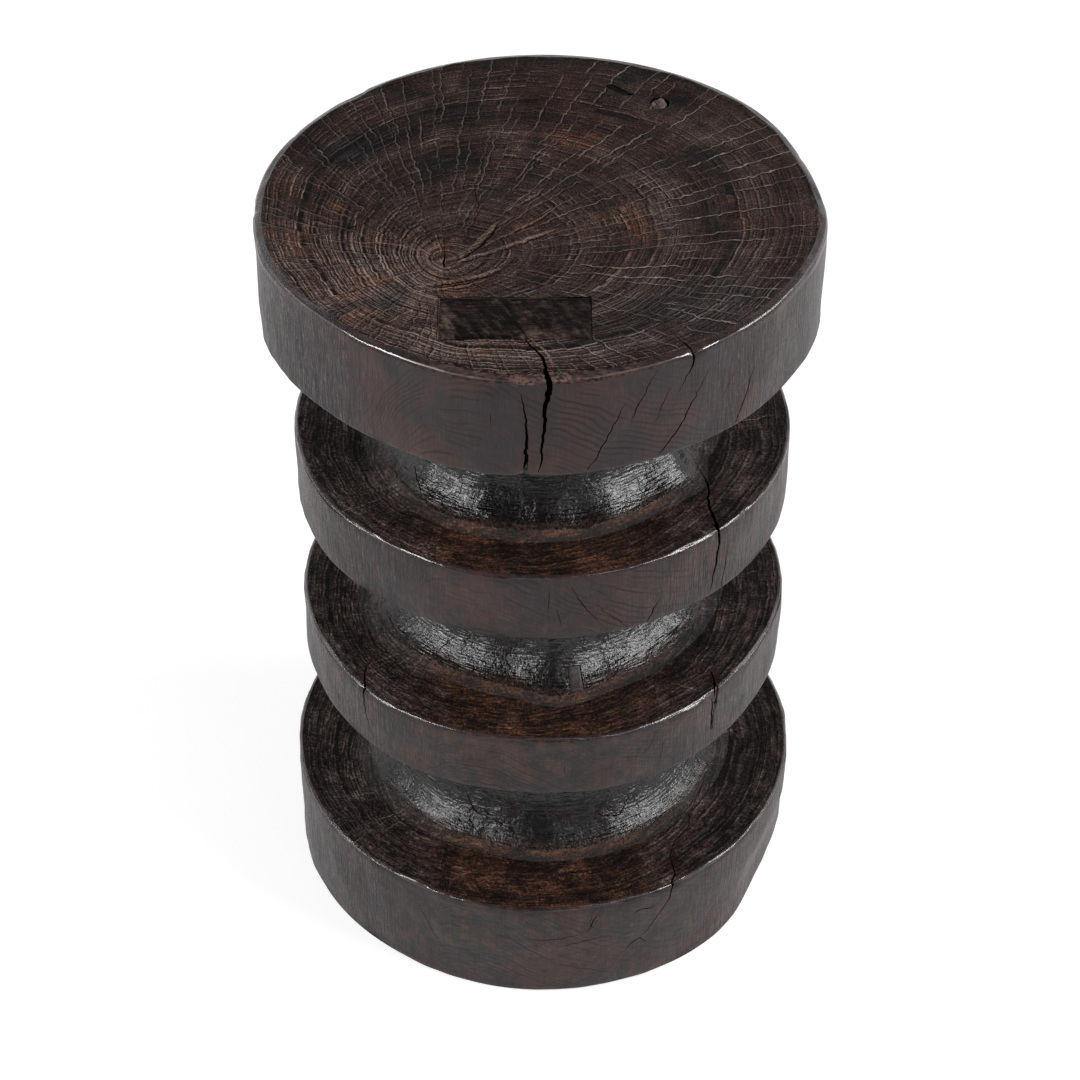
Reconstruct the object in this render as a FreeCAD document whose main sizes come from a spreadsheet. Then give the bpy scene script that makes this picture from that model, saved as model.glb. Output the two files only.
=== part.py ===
# Side table carved from one log: four thick discs, one above the other, joined by three coved waists.
# Small pieces are let into the log: a key across its widest drying check, a dead knot, the fill of a
# bark pocket and a patch in the middle waist. Millimetres, +Z up, origin at the centre of the underside.
import FreeCAD, Part
import math
import os
import Sketcher
from FreeCAD import Placement, Rotation, Vector

# Driving dimensions. Angles are in degrees about +Z, from +X, and -90 faces the front.
SIZES = {
    # Heights of the log. The lowest gap is what the others leave of the whole height.
    "table_height": 552.0,
    "base_thickness": 86.0,
    "third_thickness": 51.0,
    "mid_gap": 89.5,
    "second_thickness": 53.5,
    "high_gap": 95.0,
    "top_thickness": 74.5,
    # Radii of the discs
    "base_radius": 182.0,
    "third_radius": 168.5,
    "second_radius": 166.5,
    "top_radius": 182.0,
    # Each waist is a cove: the radius where it meets the discs, and how deep it is cut in there
    "low_flare": 130.0,
    "low_cove": 29.0,
    "mid_flare": 126.0,
    "mid_cove": 29.0,
    "high_flare": 125.0,
    "high_cove": 29.0,
    # Rounding of the arrises
    "upper_arris": 3.0,
    "lower_arris": 2.5,
    # Where the tree was not quite round: a flat on the top disc, a sloping facet low on the base.
    # An inset is how far the cut comes in from the rim.
    "flat_angle": 17.5,
    "flat_inset": 6.0,
    "facet_angle": -22.0,
    "facet_inset": 8.5,
    "facet_height": 78.0,
    # Rectangular key let into the top face, its middle set in from the front of the rim
    "key_length": 92.0,
    "key_width": 41.5,
    "key_depth": 18.0,
    "key_right": -16.5,
    "key_inset": 61.0,
    "key_clearance": 0.2,
    # Dead knot, set in from the rim, in a hole whose centre is shifted to the knot's right
    "knot_radius": 5.5,
    "knot_depth": 14.0,
    "knot_angle": 57.0,
    "knot_inset": 40.5,
    "knot_gap": 2.0,
    "knot_shift": 0.8,
    # Bark pocket, a slot with round ends set in from the rim and turned, and the fill in it
    "pocket_length": 12.0,
    "pocket_width": 5.5,
    "pocket_depth": 9.0,
    "pocket_angle": 69.5,
    "pocket_inset": 40.0,
    "pocket_turn": -40.0,
    "fill_clearance": 0.1,
    "fill_recess": 0.8,
    # Patch in the middle waist, placed by its angle round the log and its share of the way down the
    # lower half of the cove
    "patch_width": 9.0,
    "patch_length": 17.0,
    "patch_depth": 7.0,
    "patch_angle": -79.0,
    "patch_slope_share": 0.79,
    "patch_clearance": 0.15,
    # Drying checks: angle, width at the rim and depth, at the upper and the lower end of each
    "main_check_upper_angle": -89.0,
    "main_check_upper_width": 3.8,
    "main_check_upper_depth": 62.0,
    "main_check_lower_angle": -90.6,
    "main_check_lower_width": 1.4,
    "main_check_lower_depth": 40.0,
    "lip_check_rise": 62.0,
    "lip_check_upper_angle": -93.6,
    "lip_check_upper_width": 0.8,
    "lip_check_upper_depth": 6.0,
    "lip_check_lower_angle": -93.0,
    "lip_check_lower_width": 3.2,
    "lip_check_lower_depth": 24.0,
    "second_check_upper_angle": -47.0,
    "second_check_upper_width": 3.2,
    "second_check_upper_depth": 34.0,
    "second_check_lower_angle": -49.2,
    "second_check_lower_width": 1.8,
    "second_check_lower_depth": 20.0,
    "third_check_upper_angle": -46.6,
    "third_check_upper_width": 2.6,
    "third_check_upper_depth": 23.0,
    "third_check_lower_angle": -45.8,
    "third_check_lower_width": 1.2,
    "third_check_lower_depth": 10.0,
    "left_check_upper_angle": -136.0,
    "left_check_upper_width": 2.4,
    "left_check_upper_depth": 20.0,
    "left_check_lower_angle": -133.8,
    "left_check_lower_width": 1.2,
    "left_check_lower_depth": 10.0,
    "base_check_upper_angle": -60.2,
    "base_check_upper_width": 2.4,
    "base_check_upper_depth": 38.0,
    "base_check_lower_angle": -66.5,
    "base_check_lower_width": 0.8,
    "base_check_lower_depth": 8.0,
    "base_check_drop": 44.0,
    # How far a cut runs out past the wood
    "overrun": 6.0,
}

doc = FreeCAD.newDocument("side_table")
sheet = doc.addObject("Spreadsheet::Sheet", "Sizes")
for row, (alias, value) in enumerate(SIZES.items(), start=1):
    sheet.set("A%d" % row, alias)
    sheet.set("B%d" % row, str(value))
    sheet.setAlias("B%d" % row, alias)
doc.recompute()


def cell(alias):
    """A size as an expression."""
    return "Sizes." + alias


def value_of(expression):
    """The number that an expression over the sheet gives, in millimetres or degrees."""
    found = sheet.evalExpression(expression)
    return float(getattr(found, "Value", found))


# Levels, as expressions over the sheet, from the table top down
TABLE_TOP = cell("table_height")
TOP_FOOT = TABLE_TOP + " - Sizes.top_thickness"
SECOND_TOP = TOP_FOOT + " - Sizes.high_gap"
SECOND_FOOT = SECOND_TOP + " - Sizes.second_thickness"
THIRD_TOP = SECOND_FOOT + " - Sizes.mid_gap"
THIRD_FOOT = THIRD_TOP + " - Sizes.third_thickness"
BASE_TOP = cell("base_thickness")

# Height of each waist
GAPS = {
    "low": "(" + THIRD_FOOT + " - " + BASE_TOP + ")",
    "mid": cell("mid_gap"),
    "high": cell("high_gap"),
}

# Discs from the floor up: radius, level of the underside, level of the upper face
DISCS = [
    (cell("base_radius"), "0", BASE_TOP),
    (cell("third_radius"), THIRD_FOOT, THIRD_TOP),
    (cell("second_radius"), SECOND_FOOT, SECOND_TOP),
    (cell("top_radius"), TOP_FOOT, TABLE_TOP),
]


def cove_radius(waist):
    """Radius of a waist's arc, from its gap and its depth."""
    depth = "Sizes.%s_cove" % waist
    half = "(%s / 2)" % GAPS[waist]
    return "((%s * %s + %s * %s) / (2 * %s))" % (half, half, depth, depth, depth)


def origin_plane(body, role):
    """One of a body's own three base planes."""
    for feature in body.Origin.OriginFeatures:
        if feature.Role == role:
            return feature
    raise ValueError("no plane " + role)


def add_sketch(body, name, role, place=None):
    """An empty sketch on a base plane. Place maps attachment properties to expressions."""
    sketch = body.newObject("Sketcher::SketchObject", name)
    sketch.AttachmentSupport = [(origin_plane(body, role), "")]
    sketch.MapMode = "FlatFace"
    for path, expression in (place or {}).items():
        sketch.setExpression("AttachmentOffset." + path, expression)
    doc.recompute()
    return sketch


def bind(sketch, constraint, expression):
    """Add a driving constraint and tie it to the sheet."""
    index = sketch.addConstraint(constraint)
    sketch.setExpression("Constraints[%d]" % index, expression)


def set_level(sketch, line, expression):
    """Hold a level line at a height. The lowest line starts at the sketch's origin instead."""
    if expression != "0":
        height = value_of(expression)
        bind(sketch, Sketcher.Constraint("DistanceY", -1, 1, line, 1, height), expression)


def point(x, y):
    return Vector(x, y, 0)


def log_profile(body):
    """Half section of the log: rims with rounded arrises, level faces and arc coves."""
    sketch = add_sketch(body, "log_profile", "XZ_Plane")
    low_round = value_of(cell("lower_arris"))
    high_round = value_of(cell("upper_arris"))
    waists = list(GAPS)
    inner = [0.0] + [SIZES[waist + "_flare"] for waist in waists] + [0.0]
    previous = None
    first = None
    for number, (radius, foot, top) in enumerate(DISCS):
        reach, low, high = value_of(radius), value_of(foot), value_of(top)
        under = sketch.addGeometry(
            Part.LineSegment(point(inner[number], low), point(reach - low_round, low)))
        lower = sketch.addGeometry(Part.ArcOfCircle(
            Part.Circle(point(reach - low_round, low + low_round), Vector(0, 0, 1), low_round),
            -math.pi / 2, 0))
        rim = sketch.addGeometry(
            Part.LineSegment(point(reach, low + low_round), point(reach, high - high_round)))
        upper = sketch.addGeometry(Part.ArcOfCircle(
            Part.Circle(point(reach - high_round, high - high_round), Vector(0, 0, 1), high_round),
            0, math.pi / 2))
        ledge = sketch.addGeometry(
            Part.LineSegment(point(reach - high_round, high), point(inner[number + 1], high)))
        sketch.addConstraint(Sketcher.Constraint("Horizontal", under))
        sketch.addConstraint(Sketcher.Constraint("Vertical", rim))
        sketch.addConstraint(Sketcher.Constraint("Horizontal", ledge))
        for one, other in ((under, lower), (lower, rim), (rim, upper), (upper, ledge)):
            sketch.addConstraint(Sketcher.Constraint("Tangent", one, 2, other, 1))
        bind(sketch, Sketcher.Constraint("DistanceX", -1, 1, rim, 1, reach), radius)
        set_level(sketch, under, foot)
        set_level(sketch, ledge, top)
        bind(sketch, Sketcher.Constraint("Radius", lower, low_round), cell("lower_arris"))
        bind(sketch, Sketcher.Constraint("Radius", upper, high_round), cell("upper_arris"))
        if previous is None:
            first = under
        else:
            waist = waists[number - 1]
            add_cove(sketch, waist, previous, under)
        previous = ledge
    top_level = value_of(TABLE_TOP)
    core = sketch.addGeometry(Part.LineSegment(point(0, top_level), point(0, 0)))
    sketch.addConstraint(Sketcher.Constraint("Coincident", previous, 2, core, 1))
    sketch.addConstraint(Sketcher.Constraint("Coincident", core, 2, first, 1))
    sketch.addConstraint(Sketcher.Constraint("Coincident", core, 2, -1, 1))
    sketch.addConstraint(Sketcher.Constraint("Vertical", core))
    return sketch


def add_cove(sketch, waist, ledge, under):
    """The arc of a waist, from the ledge below it to the underside above it."""
    flare = SIZES[waist + "_flare"]
    low = sketch.Geometry[ledge].EndPoint.y
    high = sketch.Geometry[under].StartPoint.y
    radius = value_of(cove_radius(waist))
    middle = (low + high) / 2
    centre = point(flare - SIZES[waist + "_cove"] + radius, middle)
    swing = math.asin((high - low) / 2 / radius)
    cove = sketch.addGeometry(Part.ArcOfCircle(
        Part.Circle(centre, Vector(0, 0, 1), radius), math.pi - swing, math.pi + swing))
    sketch.addConstraint(Sketcher.Constraint("Coincident", cove, 2, ledge, 2))
    sketch.addConstraint(Sketcher.Constraint("Coincident", cove, 1, under, 1))
    bind(sketch, Sketcher.Constraint("DistanceX", -1, 1, ledge, 2, flare), cell(waist + "_flare"))
    bind(sketch, Sketcher.Constraint("DistanceX", -1, 1, under, 1, flare), cell(waist + "_flare"))
    bind(sketch, Sketcher.Constraint("Radius", cove, radius), cove_radius(waist))


def hold(sketch, shape, spot, x, y):
    """Tie a point of a shape to the sheet, or to the sketch's own axes where it lies on them."""
    place = (value_of(x), value_of(y))
    for kind, axis, where, expression in zip(("DistanceX", "DistanceY"), (-2, -1), place, (x, y)):
        if expression == "0":
            sketch.addConstraint(Sketcher.Constraint("PointOnObject", shape, spot, axis))
        else:
            bind(sketch, Sketcher.Constraint(kind, -1, 1, shape, spot, where), expression)


def closed_polygon(sketch, corners):
    """Join corners, each a pair of expressions, with lines, and tie every corner to the sheet."""
    places = [point(value_of(x), value_of(y)) for x, y in corners]
    count = len(corners)
    lines = []
    for number in range(count):
        lines.append(sketch.addGeometry(
            Part.LineSegment(places[number], places[(number + 1) % count])))
    for number, line in enumerate(lines):
        following = lines[(number + 1) % count]
        sketch.addConstraint(Sketcher.Constraint("Coincident", line, 2, following, 1))
    for line, (x, y) in zip(lines, corners):
        hold(sketch, line, 1, x, y)
    doc.recompute()


def rectangle(sketch, length, width):
    """A rectangle centred on the sketch's origin."""
    closed_polygon(sketch, [
        ("-(%s) / 2" % length, "-(%s) / 2" % width),
        ("(%s) / 2" % length, "-(%s) / 2" % width),
        ("(%s) / 2" % length, "(%s) / 2" % width),
        ("-(%s) / 2" % length, "(%s) / 2" % width),
    ])


def circle(sketch, x, y, radius):
    """A circle whose centre and radius are expressions."""
    ring = sketch.addGeometry(Part.Circle(
        point(value_of(x), value_of(y)), Vector(0, 0, 1), value_of(radius)))
    hold(sketch, ring, 3, x, y)
    bind(sketch, Sketcher.Constraint("Radius", ring, value_of(radius)), radius)
    doc.recompute()


def slot(sketch, straight, width):
    """A slot with round ends, centred on the sketch's origin and lying along its x axis."""
    half = value_of("(%s) / 2" % straight)
    radius = value_of("(%s) / 2" % width)
    right = sketch.addGeometry(Part.ArcOfCircle(
        Part.Circle(point(half, 0), Vector(0, 0, 1), radius), -math.pi / 2, math.pi / 2))
    upper = sketch.addGeometry(Part.LineSegment(point(half, radius), point(-half, radius)))
    left = sketch.addGeometry(Part.ArcOfCircle(
        Part.Circle(point(-half, 0), Vector(0, 0, 1), radius), math.pi / 2, 3 * math.pi / 2))
    lower = sketch.addGeometry(Part.LineSegment(point(-half, -radius), point(half, -radius)))
    for one, other in ((right, upper), (upper, left), (left, lower), (lower, right)):
        sketch.addConstraint(Sketcher.Constraint("Tangent", one, 2, other, 1))
    sketch.addConstraint(Sketcher.Constraint("PointOnObject", right, 3, -1))
    sketch.addConstraint(Sketcher.Constraint("PointOnObject", left, 3, -1))
    bind(sketch, Sketcher.Constraint("DistanceX", -1, 1, right, 3, half), "(%s) / 2" % straight)
    bind(sketch, Sketcher.Constraint("DistanceX", left, 3, -1, 1, half), "(%s) / 2" % straight)
    bind(sketch, Sketcher.Constraint("Radius", right, radius), "(%s) / 2" % width)
    doc.recompute()


def cut(body, kind, name, profile, settings, bound):
    """Add a feature that cuts, and make sure that it takes wood away."""
    before = body.Shape.Volume
    feature = body.newObject(kind, name)
    feature.Profile = profile
    for key, setting in settings.items():
        setattr(feature, key, setting)
    for key, expression in bound.items():
        feature.setExpression(key, expression)
    doc.recompute()
    if not body.Shape.Volume < before:
        raise RuntimeError(name + " took nothing away")


def pocket(body, name, sketch, length, side="One side"):
    """Cut a sketch into the body, below its plane or to both sides of it."""
    settings = {"Type": "Length", "SideType": side}
    cut(body, "PartDesign::Pocket", name, sketch, settings, {"Length": length})


# Settings of a feature that runs from its sketch's plane to both sides, by two lengths
BOTH_WAYS = {"Type": "Length", "SideType": "Two sides", "Type2": "Length"}


def pad(body, name, sketch, length, down=False):
    """Raise a sketch into a solid, above its plane or below it."""
    feature = body.newObject("PartDesign::Pad", name)
    feature.Profile = sketch
    feature.Reversed = down
    feature.setExpression("Length", length)
    doc.recompute()


def new_body(label):
    body = doc.addObject("PartDesign::Body", label)
    body.Label = label
    body.Placement = Placement(Vector(0, 0, 0), Rotation(0, 0, 0))
    return body


# Places of the let-in pieces on the table's top face and on the middle cove
def place_on_top(angle, inset):
    """A place on the table top, by its angle round the log and how far it is in from the rim."""
    return {
        "Base.x": "(Sizes.top_radius - %s) * cos(%s * 1 deg)" % (inset, angle),
        "Base.y": "(Sizes.top_radius - %s) * sin(%s * 1 deg)" % (inset, angle),
        "Base.z": TABLE_TOP,
    }


KEY_PLACE = {
    "Base.x": cell("key_right"),
    "Base.y": "Sizes.key_inset - Sizes.top_radius",
    "Base.z": TABLE_TOP,
}
KNOT_PLACE = place_on_top("Sizes.knot_angle", "Sizes.knot_inset")
POCKET_PLACE = place_on_top("Sizes.pocket_angle", "Sizes.pocket_inset")
POCKET_PLACE["Rotation.Yaw"] = cell("pocket_turn")
COVE_MIDDLE = THIRD_TOP + " + " + cell("mid_gap") + " / 2"
COVE_ARC = cove_radius("mid")
COVE_CENTRE = "(Sizes.mid_flare - Sizes.mid_cove + %s)" % COVE_ARC
PATCH_SLOPE = "(Sizes.patch_slope_share * asin(Sizes.mid_gap / 2 / %s))" % COVE_ARC
PATCH_REACH = "(%s - %s * cos(%s))" % (COVE_CENTRE, COVE_ARC, PATCH_SLOPE)
PATCH_PLACE = {
    "Base.x": PATCH_REACH + " * cos(Sizes.patch_angle * 1 deg)",
    "Base.y": PATCH_REACH + " * sin(Sizes.patch_angle * 1 deg)",
    "Base.z": "%s - %s * sin(%s)" % (COVE_MIDDLE, COVE_ARC, PATCH_SLOPE),
    "Rotation.Yaw": "Sizes.patch_angle * 1 deg + 90 deg",
    "Rotation.Roll": "90 deg - " + PATCH_SLOPE,
}


def cut_flats(log):
    """The flat on the top disc and the sloping facet low on the base."""
    flat = "(Sizes.top_radius - Sizes.flat_inset)"
    outside = "Sizes.top_radius + Sizes.overrun"
    below = TOP_FOOT + " - Sizes.overrun"
    above = TABLE_TOP + " + Sizes.overrun"
    section = add_sketch(log, "top_flat_section", "XZ_Plane", {"Rotation.Pitch": cell("flat_angle")})
    closed_polygon(section, [(flat, below), (outside, below), (outside, above), (flat, above)])
    pocket(log, "top_flat", section, "2 * Sizes.top_radius", "Symmetric")
    run_in = "Sizes.facet_inset / Sizes.facet_height * Sizes.overrun"
    outside = "Sizes.base_radius + Sizes.overrun"
    facet = add_sketch(log, "facet_section", "XZ_Plane", {"Rotation.Pitch": cell("facet_angle")})
    closed_polygon(facet, [
        ("Sizes.base_radius - Sizes.facet_inset - " + run_in, "-Sizes.overrun"),
        (outside, "-Sizes.overrun"),
        (outside, "Sizes.facet_height + Sizes.overrun"),
        ("Sizes.base_radius + " + run_in, "Sizes.facet_height + Sizes.overrun"),
    ])
    pocket(log, "base_facet", facet, "2 * Sizes.base_radius", "Symmetric")


def cut_seats(log):
    """The recesses that hold the key, the knot, the fill and the patch."""
    key_seat = add_sketch(log, "key_seat_outline", "XY_Plane", KEY_PLACE)
    rectangle(key_seat, cell("key_length"), cell("key_width"))
    pocket(log, "key_seat", key_seat, cell("key_depth"))
    knot_hole = add_sketch(log, "knot_hole_outline", "XY_Plane", KNOT_PLACE)
    circle(knot_hole, cell("knot_shift"), "0", "Sizes.knot_radius + Sizes.knot_gap / 2")
    pocket(log, "knot_hole", knot_hole, cell("knot_depth"))
    bark = add_sketch(log, "bark_pocket_outline", "XY_Plane", POCKET_PLACE)
    slot(bark, cell("pocket_length"), cell("pocket_width"))
    pocket(log, "bark_pocket", bark, cell("pocket_depth"))
    seat = add_sketch(log, "patch_seat_outline", "XY_Plane", PATCH_PLACE)
    rectangle(seat, cell("patch_width"), cell("patch_length"))
    cut(log, "PartDesign::Pocket", "patch_seat", seat, BOTH_WAYS,
        {"Length": cell("patch_depth"), "Length2": cell("overrun")})


# Drying checks: name, radius of the disc, and the levels of their upper and lower ends.
# One that runs right through a disc starts and ends past its faces.
CHECKS = [
    ("main_check", cell("top_radius"), TABLE_TOP + " + Sizes.overrun", TOP_FOOT + " - Sizes.overrun"),
    ("lip_check", cell("top_radius"), TOP_FOOT + " + Sizes.lip_check_rise",
     TOP_FOOT + " - Sizes.overrun"),
    ("second_check", cell("second_radius"), SECOND_TOP + " + Sizes.overrun",
     SECOND_FOOT + " - Sizes.overrun"),
    ("third_check", cell("third_radius"), THIRD_TOP + " + Sizes.overrun",
     THIRD_FOOT + " - Sizes.overrun"),
    ("left_check", cell("third_radius"), THIRD_TOP + " + Sizes.overrun",
     THIRD_FOOT + " - Sizes.overrun"),
    ("base_check", cell("base_radius"), BASE_TOP + " + Sizes.overrun",
     BASE_TOP + " - Sizes.base_check_drop"),
]


def check_section(log, name, end, radius, level):
    """A thin triangle at one end of a check: its point in the wood, its mouth past the rim."""
    depth = cell("%s_%s_depth" % (name, end))
    width = cell("%s_%s_width" % (name, end))
    mouth = "%s * (%s + Sizes.overrun) / %s / 2" % (width, depth, depth)
    outside = radius + " + Sizes.overrun"
    sketch = add_sketch(log, "%s_%s_end" % (name, end), "XY_Plane", {
        "Base.z": level,
        "Rotation.Yaw": cell("%s_%s_angle" % (name, end)),
    })
    closed_polygon(sketch, [
        ("%s - %s" % (radius, depth), "0"),
        (outside, "-(%s)" % mouth),
        (outside, mouth),
    ])
    return sketch


def cut_checks(log):
    """Open the drying checks, each a wedge that narrows inwards and towards its end."""
    for name, radius, upper_level, lower_level in CHECKS:
        upper = check_section(log, name, "upper", radius, upper_level)
        lower = check_section(log, name, "lower", radius, lower_level)
        cut(log, "PartDesign::SubtractiveLoft", name, upper, {"Sections": [lower], "Ruled": True}, {})


def make_log():
    log = new_body("carved_log")
    profile = log_profile(log)
    turned = log.newObject("PartDesign::Revolution", "turned_log")
    turned.Profile = profile
    turned.ReferenceAxis = (profile, ["V_Axis"])
    turned.Angle = 360
    doc.recompute()
    cut_flats(log)
    cut_seats(log)
    cut_checks(log)
    return log


def make_key():
    """The block across the main check, flush with the table top."""
    key = new_body("check_key")
    outline = add_sketch(key, "key_outline", "XY_Plane", KEY_PLACE)
    rectangle(outline, "Sizes.key_length - 2 * Sizes.key_clearance",
              "Sizes.key_width - 2 * Sizes.key_clearance")
    pad(key, "key_block", outline, cell("key_depth"), down=True)
    return key


def make_knot():
    """The dead knot, which stands on the floor of its hole."""
    knot = new_body("knot_plug")
    outline = add_sketch(knot, "knot_outline", "XY_Plane", KNOT_PLACE)
    circle(outline, "0", "0", cell("knot_radius"))
    pad(knot, "knot_stub", outline, cell("knot_depth"), down=True)
    return knot


def make_fill():
    """The fill of the bark pocket, a little below the table top."""
    fill = new_body("bark_fill")
    place = dict(POCKET_PLACE)
    place["Base.z"] = TABLE_TOP + " - " + cell("fill_recess")
    outline = add_sketch(fill, "fill_outline", "XY_Plane", place)
    slot(outline, cell("pocket_length"), "Sizes.pocket_width - 2 * Sizes.fill_clearance")
    pad(fill, "fill_block", outline, "Sizes.pocket_depth - Sizes.fill_recess", down=True)
    return fill


def make_patch():
    """The patch in the middle waist, hollowed on its face to the same cove."""
    patch = new_body("waist_patch")
    outline = add_sketch(patch, "patch_outline", "XY_Plane", PATCH_PLACE)
    rectangle(outline, "Sizes.patch_width - 2 * Sizes.patch_clearance",
              "Sizes.patch_length - 2 * Sizes.patch_clearance")
    block = patch.newObject("PartDesign::Pad", "patch_block")
    block.Profile = outline
    for key, setting in BOTH_WAYS.items():
        setattr(block, key, setting)
    block.setExpression("Length", cell("overrun"))
    block.setExpression("Length2", cell("patch_depth"))
    doc.recompute()
    ring = add_sketch(patch, "cove_ring", "XZ_Plane")
    circle(ring, COVE_CENTRE, COVE_MIDDLE, COVE_ARC)
    cut(patch, "PartDesign::Groove", "patch_face", ring,
        {"ReferenceAxis": (ring, ["V_Axis"]), "Angle": 360}, {})
    return patch


pieces = [make_log(), make_key(), make_knot(), make_fill(), make_patch()]
doc.recompute()
for item in doc.Objects:
    if "Invalid" in item.State or "Error" in item.State:
        raise RuntimeError("failed object " + item.Name)
for piece in pieces:
    shape = piece.Shape
    if shape.isNull() or not shape.isValid() or len(shape.Solids) != 1:
        raise RuntimeError("bad solid " + piece.Label)

os.makedirs("parts", exist_ok=True)
for piece in pieces:
    piece.Shape.exportStep("parts/%s.step" % piece.Label)
    box = piece.Shape.optimalBoundingBox()
    print("%-12s volume %10.1f mm3, x %.1f to %.1f, y %.1f to %.1f, z %.1f to %.1f" % (
        piece.Label, piece.Shape.Volume, box.XMin, box.XMax, box.YMin, box.YMax, box.ZMin, box.ZMax))
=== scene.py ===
"""Looks of a side table carved from one log: four discs and three coves, with blocks let into it.

Sizes are in millimetres and angles in degrees until a mesh is made, and then in metres. The front of
the table is at -Y, where the angle round the log is -90, and its right side is at +X.
"""

import math
from types import SimpleNamespace

import bmesh
import bpy
import numpy as np
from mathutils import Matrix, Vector
from mathutils.bvhtree import BVHTree
from mathutils.kdtree import KDTree


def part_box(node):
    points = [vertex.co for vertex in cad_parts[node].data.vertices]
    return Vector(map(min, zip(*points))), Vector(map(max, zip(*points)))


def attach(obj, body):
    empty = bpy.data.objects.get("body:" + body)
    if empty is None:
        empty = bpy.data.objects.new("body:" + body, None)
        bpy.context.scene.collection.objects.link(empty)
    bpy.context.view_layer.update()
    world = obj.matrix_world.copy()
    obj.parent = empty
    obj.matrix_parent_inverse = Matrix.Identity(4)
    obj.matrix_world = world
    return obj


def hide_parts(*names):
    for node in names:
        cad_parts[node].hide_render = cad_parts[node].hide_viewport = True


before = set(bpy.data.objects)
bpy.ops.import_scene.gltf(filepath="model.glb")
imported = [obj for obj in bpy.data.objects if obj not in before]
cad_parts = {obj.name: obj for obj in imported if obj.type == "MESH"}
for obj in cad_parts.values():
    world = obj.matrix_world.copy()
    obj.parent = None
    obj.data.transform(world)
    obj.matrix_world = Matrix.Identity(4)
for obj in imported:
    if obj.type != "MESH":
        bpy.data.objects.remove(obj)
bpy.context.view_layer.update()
MM = 0.001
TAU = 2 * math.pi

# The discs as (underside, top, radius), and the coves between them as (bottom, top, radius at the
# flare, depth), both from the floor up.
LOG_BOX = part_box("carved_log")
HEIGHT = LOG_BOX[1][2] / MM
DISCS = {
    "base": (0.0, 86.0, 180.4),
    "third": (188.5, 239.5, 168.0),
    "second": (329.0, 382.5, 166.0),
    "top": (477.5, HEIGHT, 180.0),
}
COVES = {
    "low": (86.0, 188.5, 130.0, 29.0),
    "middle": (239.5, 329.0, 126.0, 29.0),
    "high": (382.5, 477.5, 125.0, 29.0),
}
DOWNWARDS = (("top", "high"), ("second", "middle"), ("third", "low"), ("base", None))
UPPER_ARRIS = {"top": 5.4, "second": 2.4, "third": 2.4, "base": 2.6}
LOWER_ARRIS = 2.5
REACH = LOG_BOX[1][0] / MM - 0.1

# How far a cove's curve runs out into the disc below it, at its foot, and above it, at its head.
FOOT_SOFT, HEAD_SOFT = 7.0, 4.0

# Radii that aren't the same all round, as (angle, millimetres).
TOP_OUTLINE = (
    (-180, 182), (-162, 182.5), (-138, 178.6), (-120, 178.8), (-102, 183), (-88, 181.6), (-72, 179),
    (-60, 177.8), (-30, 177.5), (-6, 180.5), (6, 177), (18, 175.6), (30, 178.5), (40, 179.8),
    (144, 180), (162, 182),
)
FLARE_SHIFT = {
    "low": ((-170, 0), (-155, 2), (-123, -2), (-109, -5), (-93, -2), (-37, -1), (-20, 1), (90, 0)),
    "middle": (
        (-170, -2), (-151, 1), (-120, -6), (-99, -4), (-86, 5), (-69, -4), (-45, -7), (-17, -6),
        (90, 0),
    ),
    "high": (
        (-165, -10), (-156, -8), (-125, 1), (-77, 0), (-52, -5), (-36, 0), (-24, -14), (0, -8),
        (90, 0), (150, -4),
    ),
}
BASE_SCOOP = (
    (-58, 0), (-46, 0.6), (-38, 2.5), (-30, 6.5), (-24, 8), (-16, 7), (-8, 3.2), (0, 0.3), (10, 0),
)
SCOOP_HEIGHTS = (70.0, 18.0)

# How long the waves of the lower discs' outlines are, and how deep; how far from its flare line a
# cove's uneven foot starts and is there in full.
OUTLINE_WAVE, OUTLINE_DEPTH = 150, 0.7
FOOT_FADE = (28, 4)

# The heart of the log, about which its rings and rays run, off the middle of the discs.
PITH = (-61.0, -64.0)
LOG_RADIUS = 181.0

# How many points lie round the log, and how far apart they are on its rims, faces and hidden sides.
AROUND = 384
RIM_STEP = 3.0
FACE_STEP = 3.4
HIDDEN_STEP = 6.0

# The four corners of a square, each way from its middle.
CORNERS = np.array([(-1, -1), (1, -1), (1, 1), (-1, 1)])


def compass(angle):
    """The way outwards at that angle round the log."""
    return Vector((math.cos(math.radians(angle)), math.sin(math.radians(angle)), 0))


def polar(points):
    """How far points are from the axis, their height, and their angle round it."""
    x, y, z = points.T
    return np.hypot(x, y), z, np.degrees(np.arctan2(y, x))


def around(stops, angle):
    """A length that changes smoothly round the log through stops of (angle, millimetres)."""
    table = np.arange(-180.0, 180.0, 1.0)
    stop_angles, lengths = np.array(stops, float).T
    plain = np.interp(table, stop_angles, lengths, period=360)
    reach = np.arange(-9, 10)
    weights = np.exp(-((reach / 2.8) ** 2))
    rolled = sum(w * np.roll(plain, k) for w, k in zip(weights, reach)) / weights.sum()
    return np.interp(angle, table, rolled, period=360)


def ripple(points, length, seed, stretch=(1, 1, 1), waves=20):
    """Soft noise of unit strength: plane waves about that long, in directions drawn from the seed."""
    draw = np.random.default_rng(seed)
    ways = draw.normal(size=(waves, 3))
    ways /= np.linalg.norm(ways, axis=1)[:, None] * np.array(stretch)
    numbers = TAU / length * draw.uniform(0.6, 1.5, waves)
    phases = draw.uniform(0, TAU, waves)
    return math.sqrt(2 / waves) * np.sin(points @ (ways * numbers[:, None]).T + phases).sum(axis=1)


def smooth(value, low, high):
    """0 below low, 1 above high and a smooth step between them; low may be the greater one."""
    share = np.clip((np.asarray(value, float) - low) / (high - low), 0, 1)
    return share * share * (3 - 2 * share)


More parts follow.
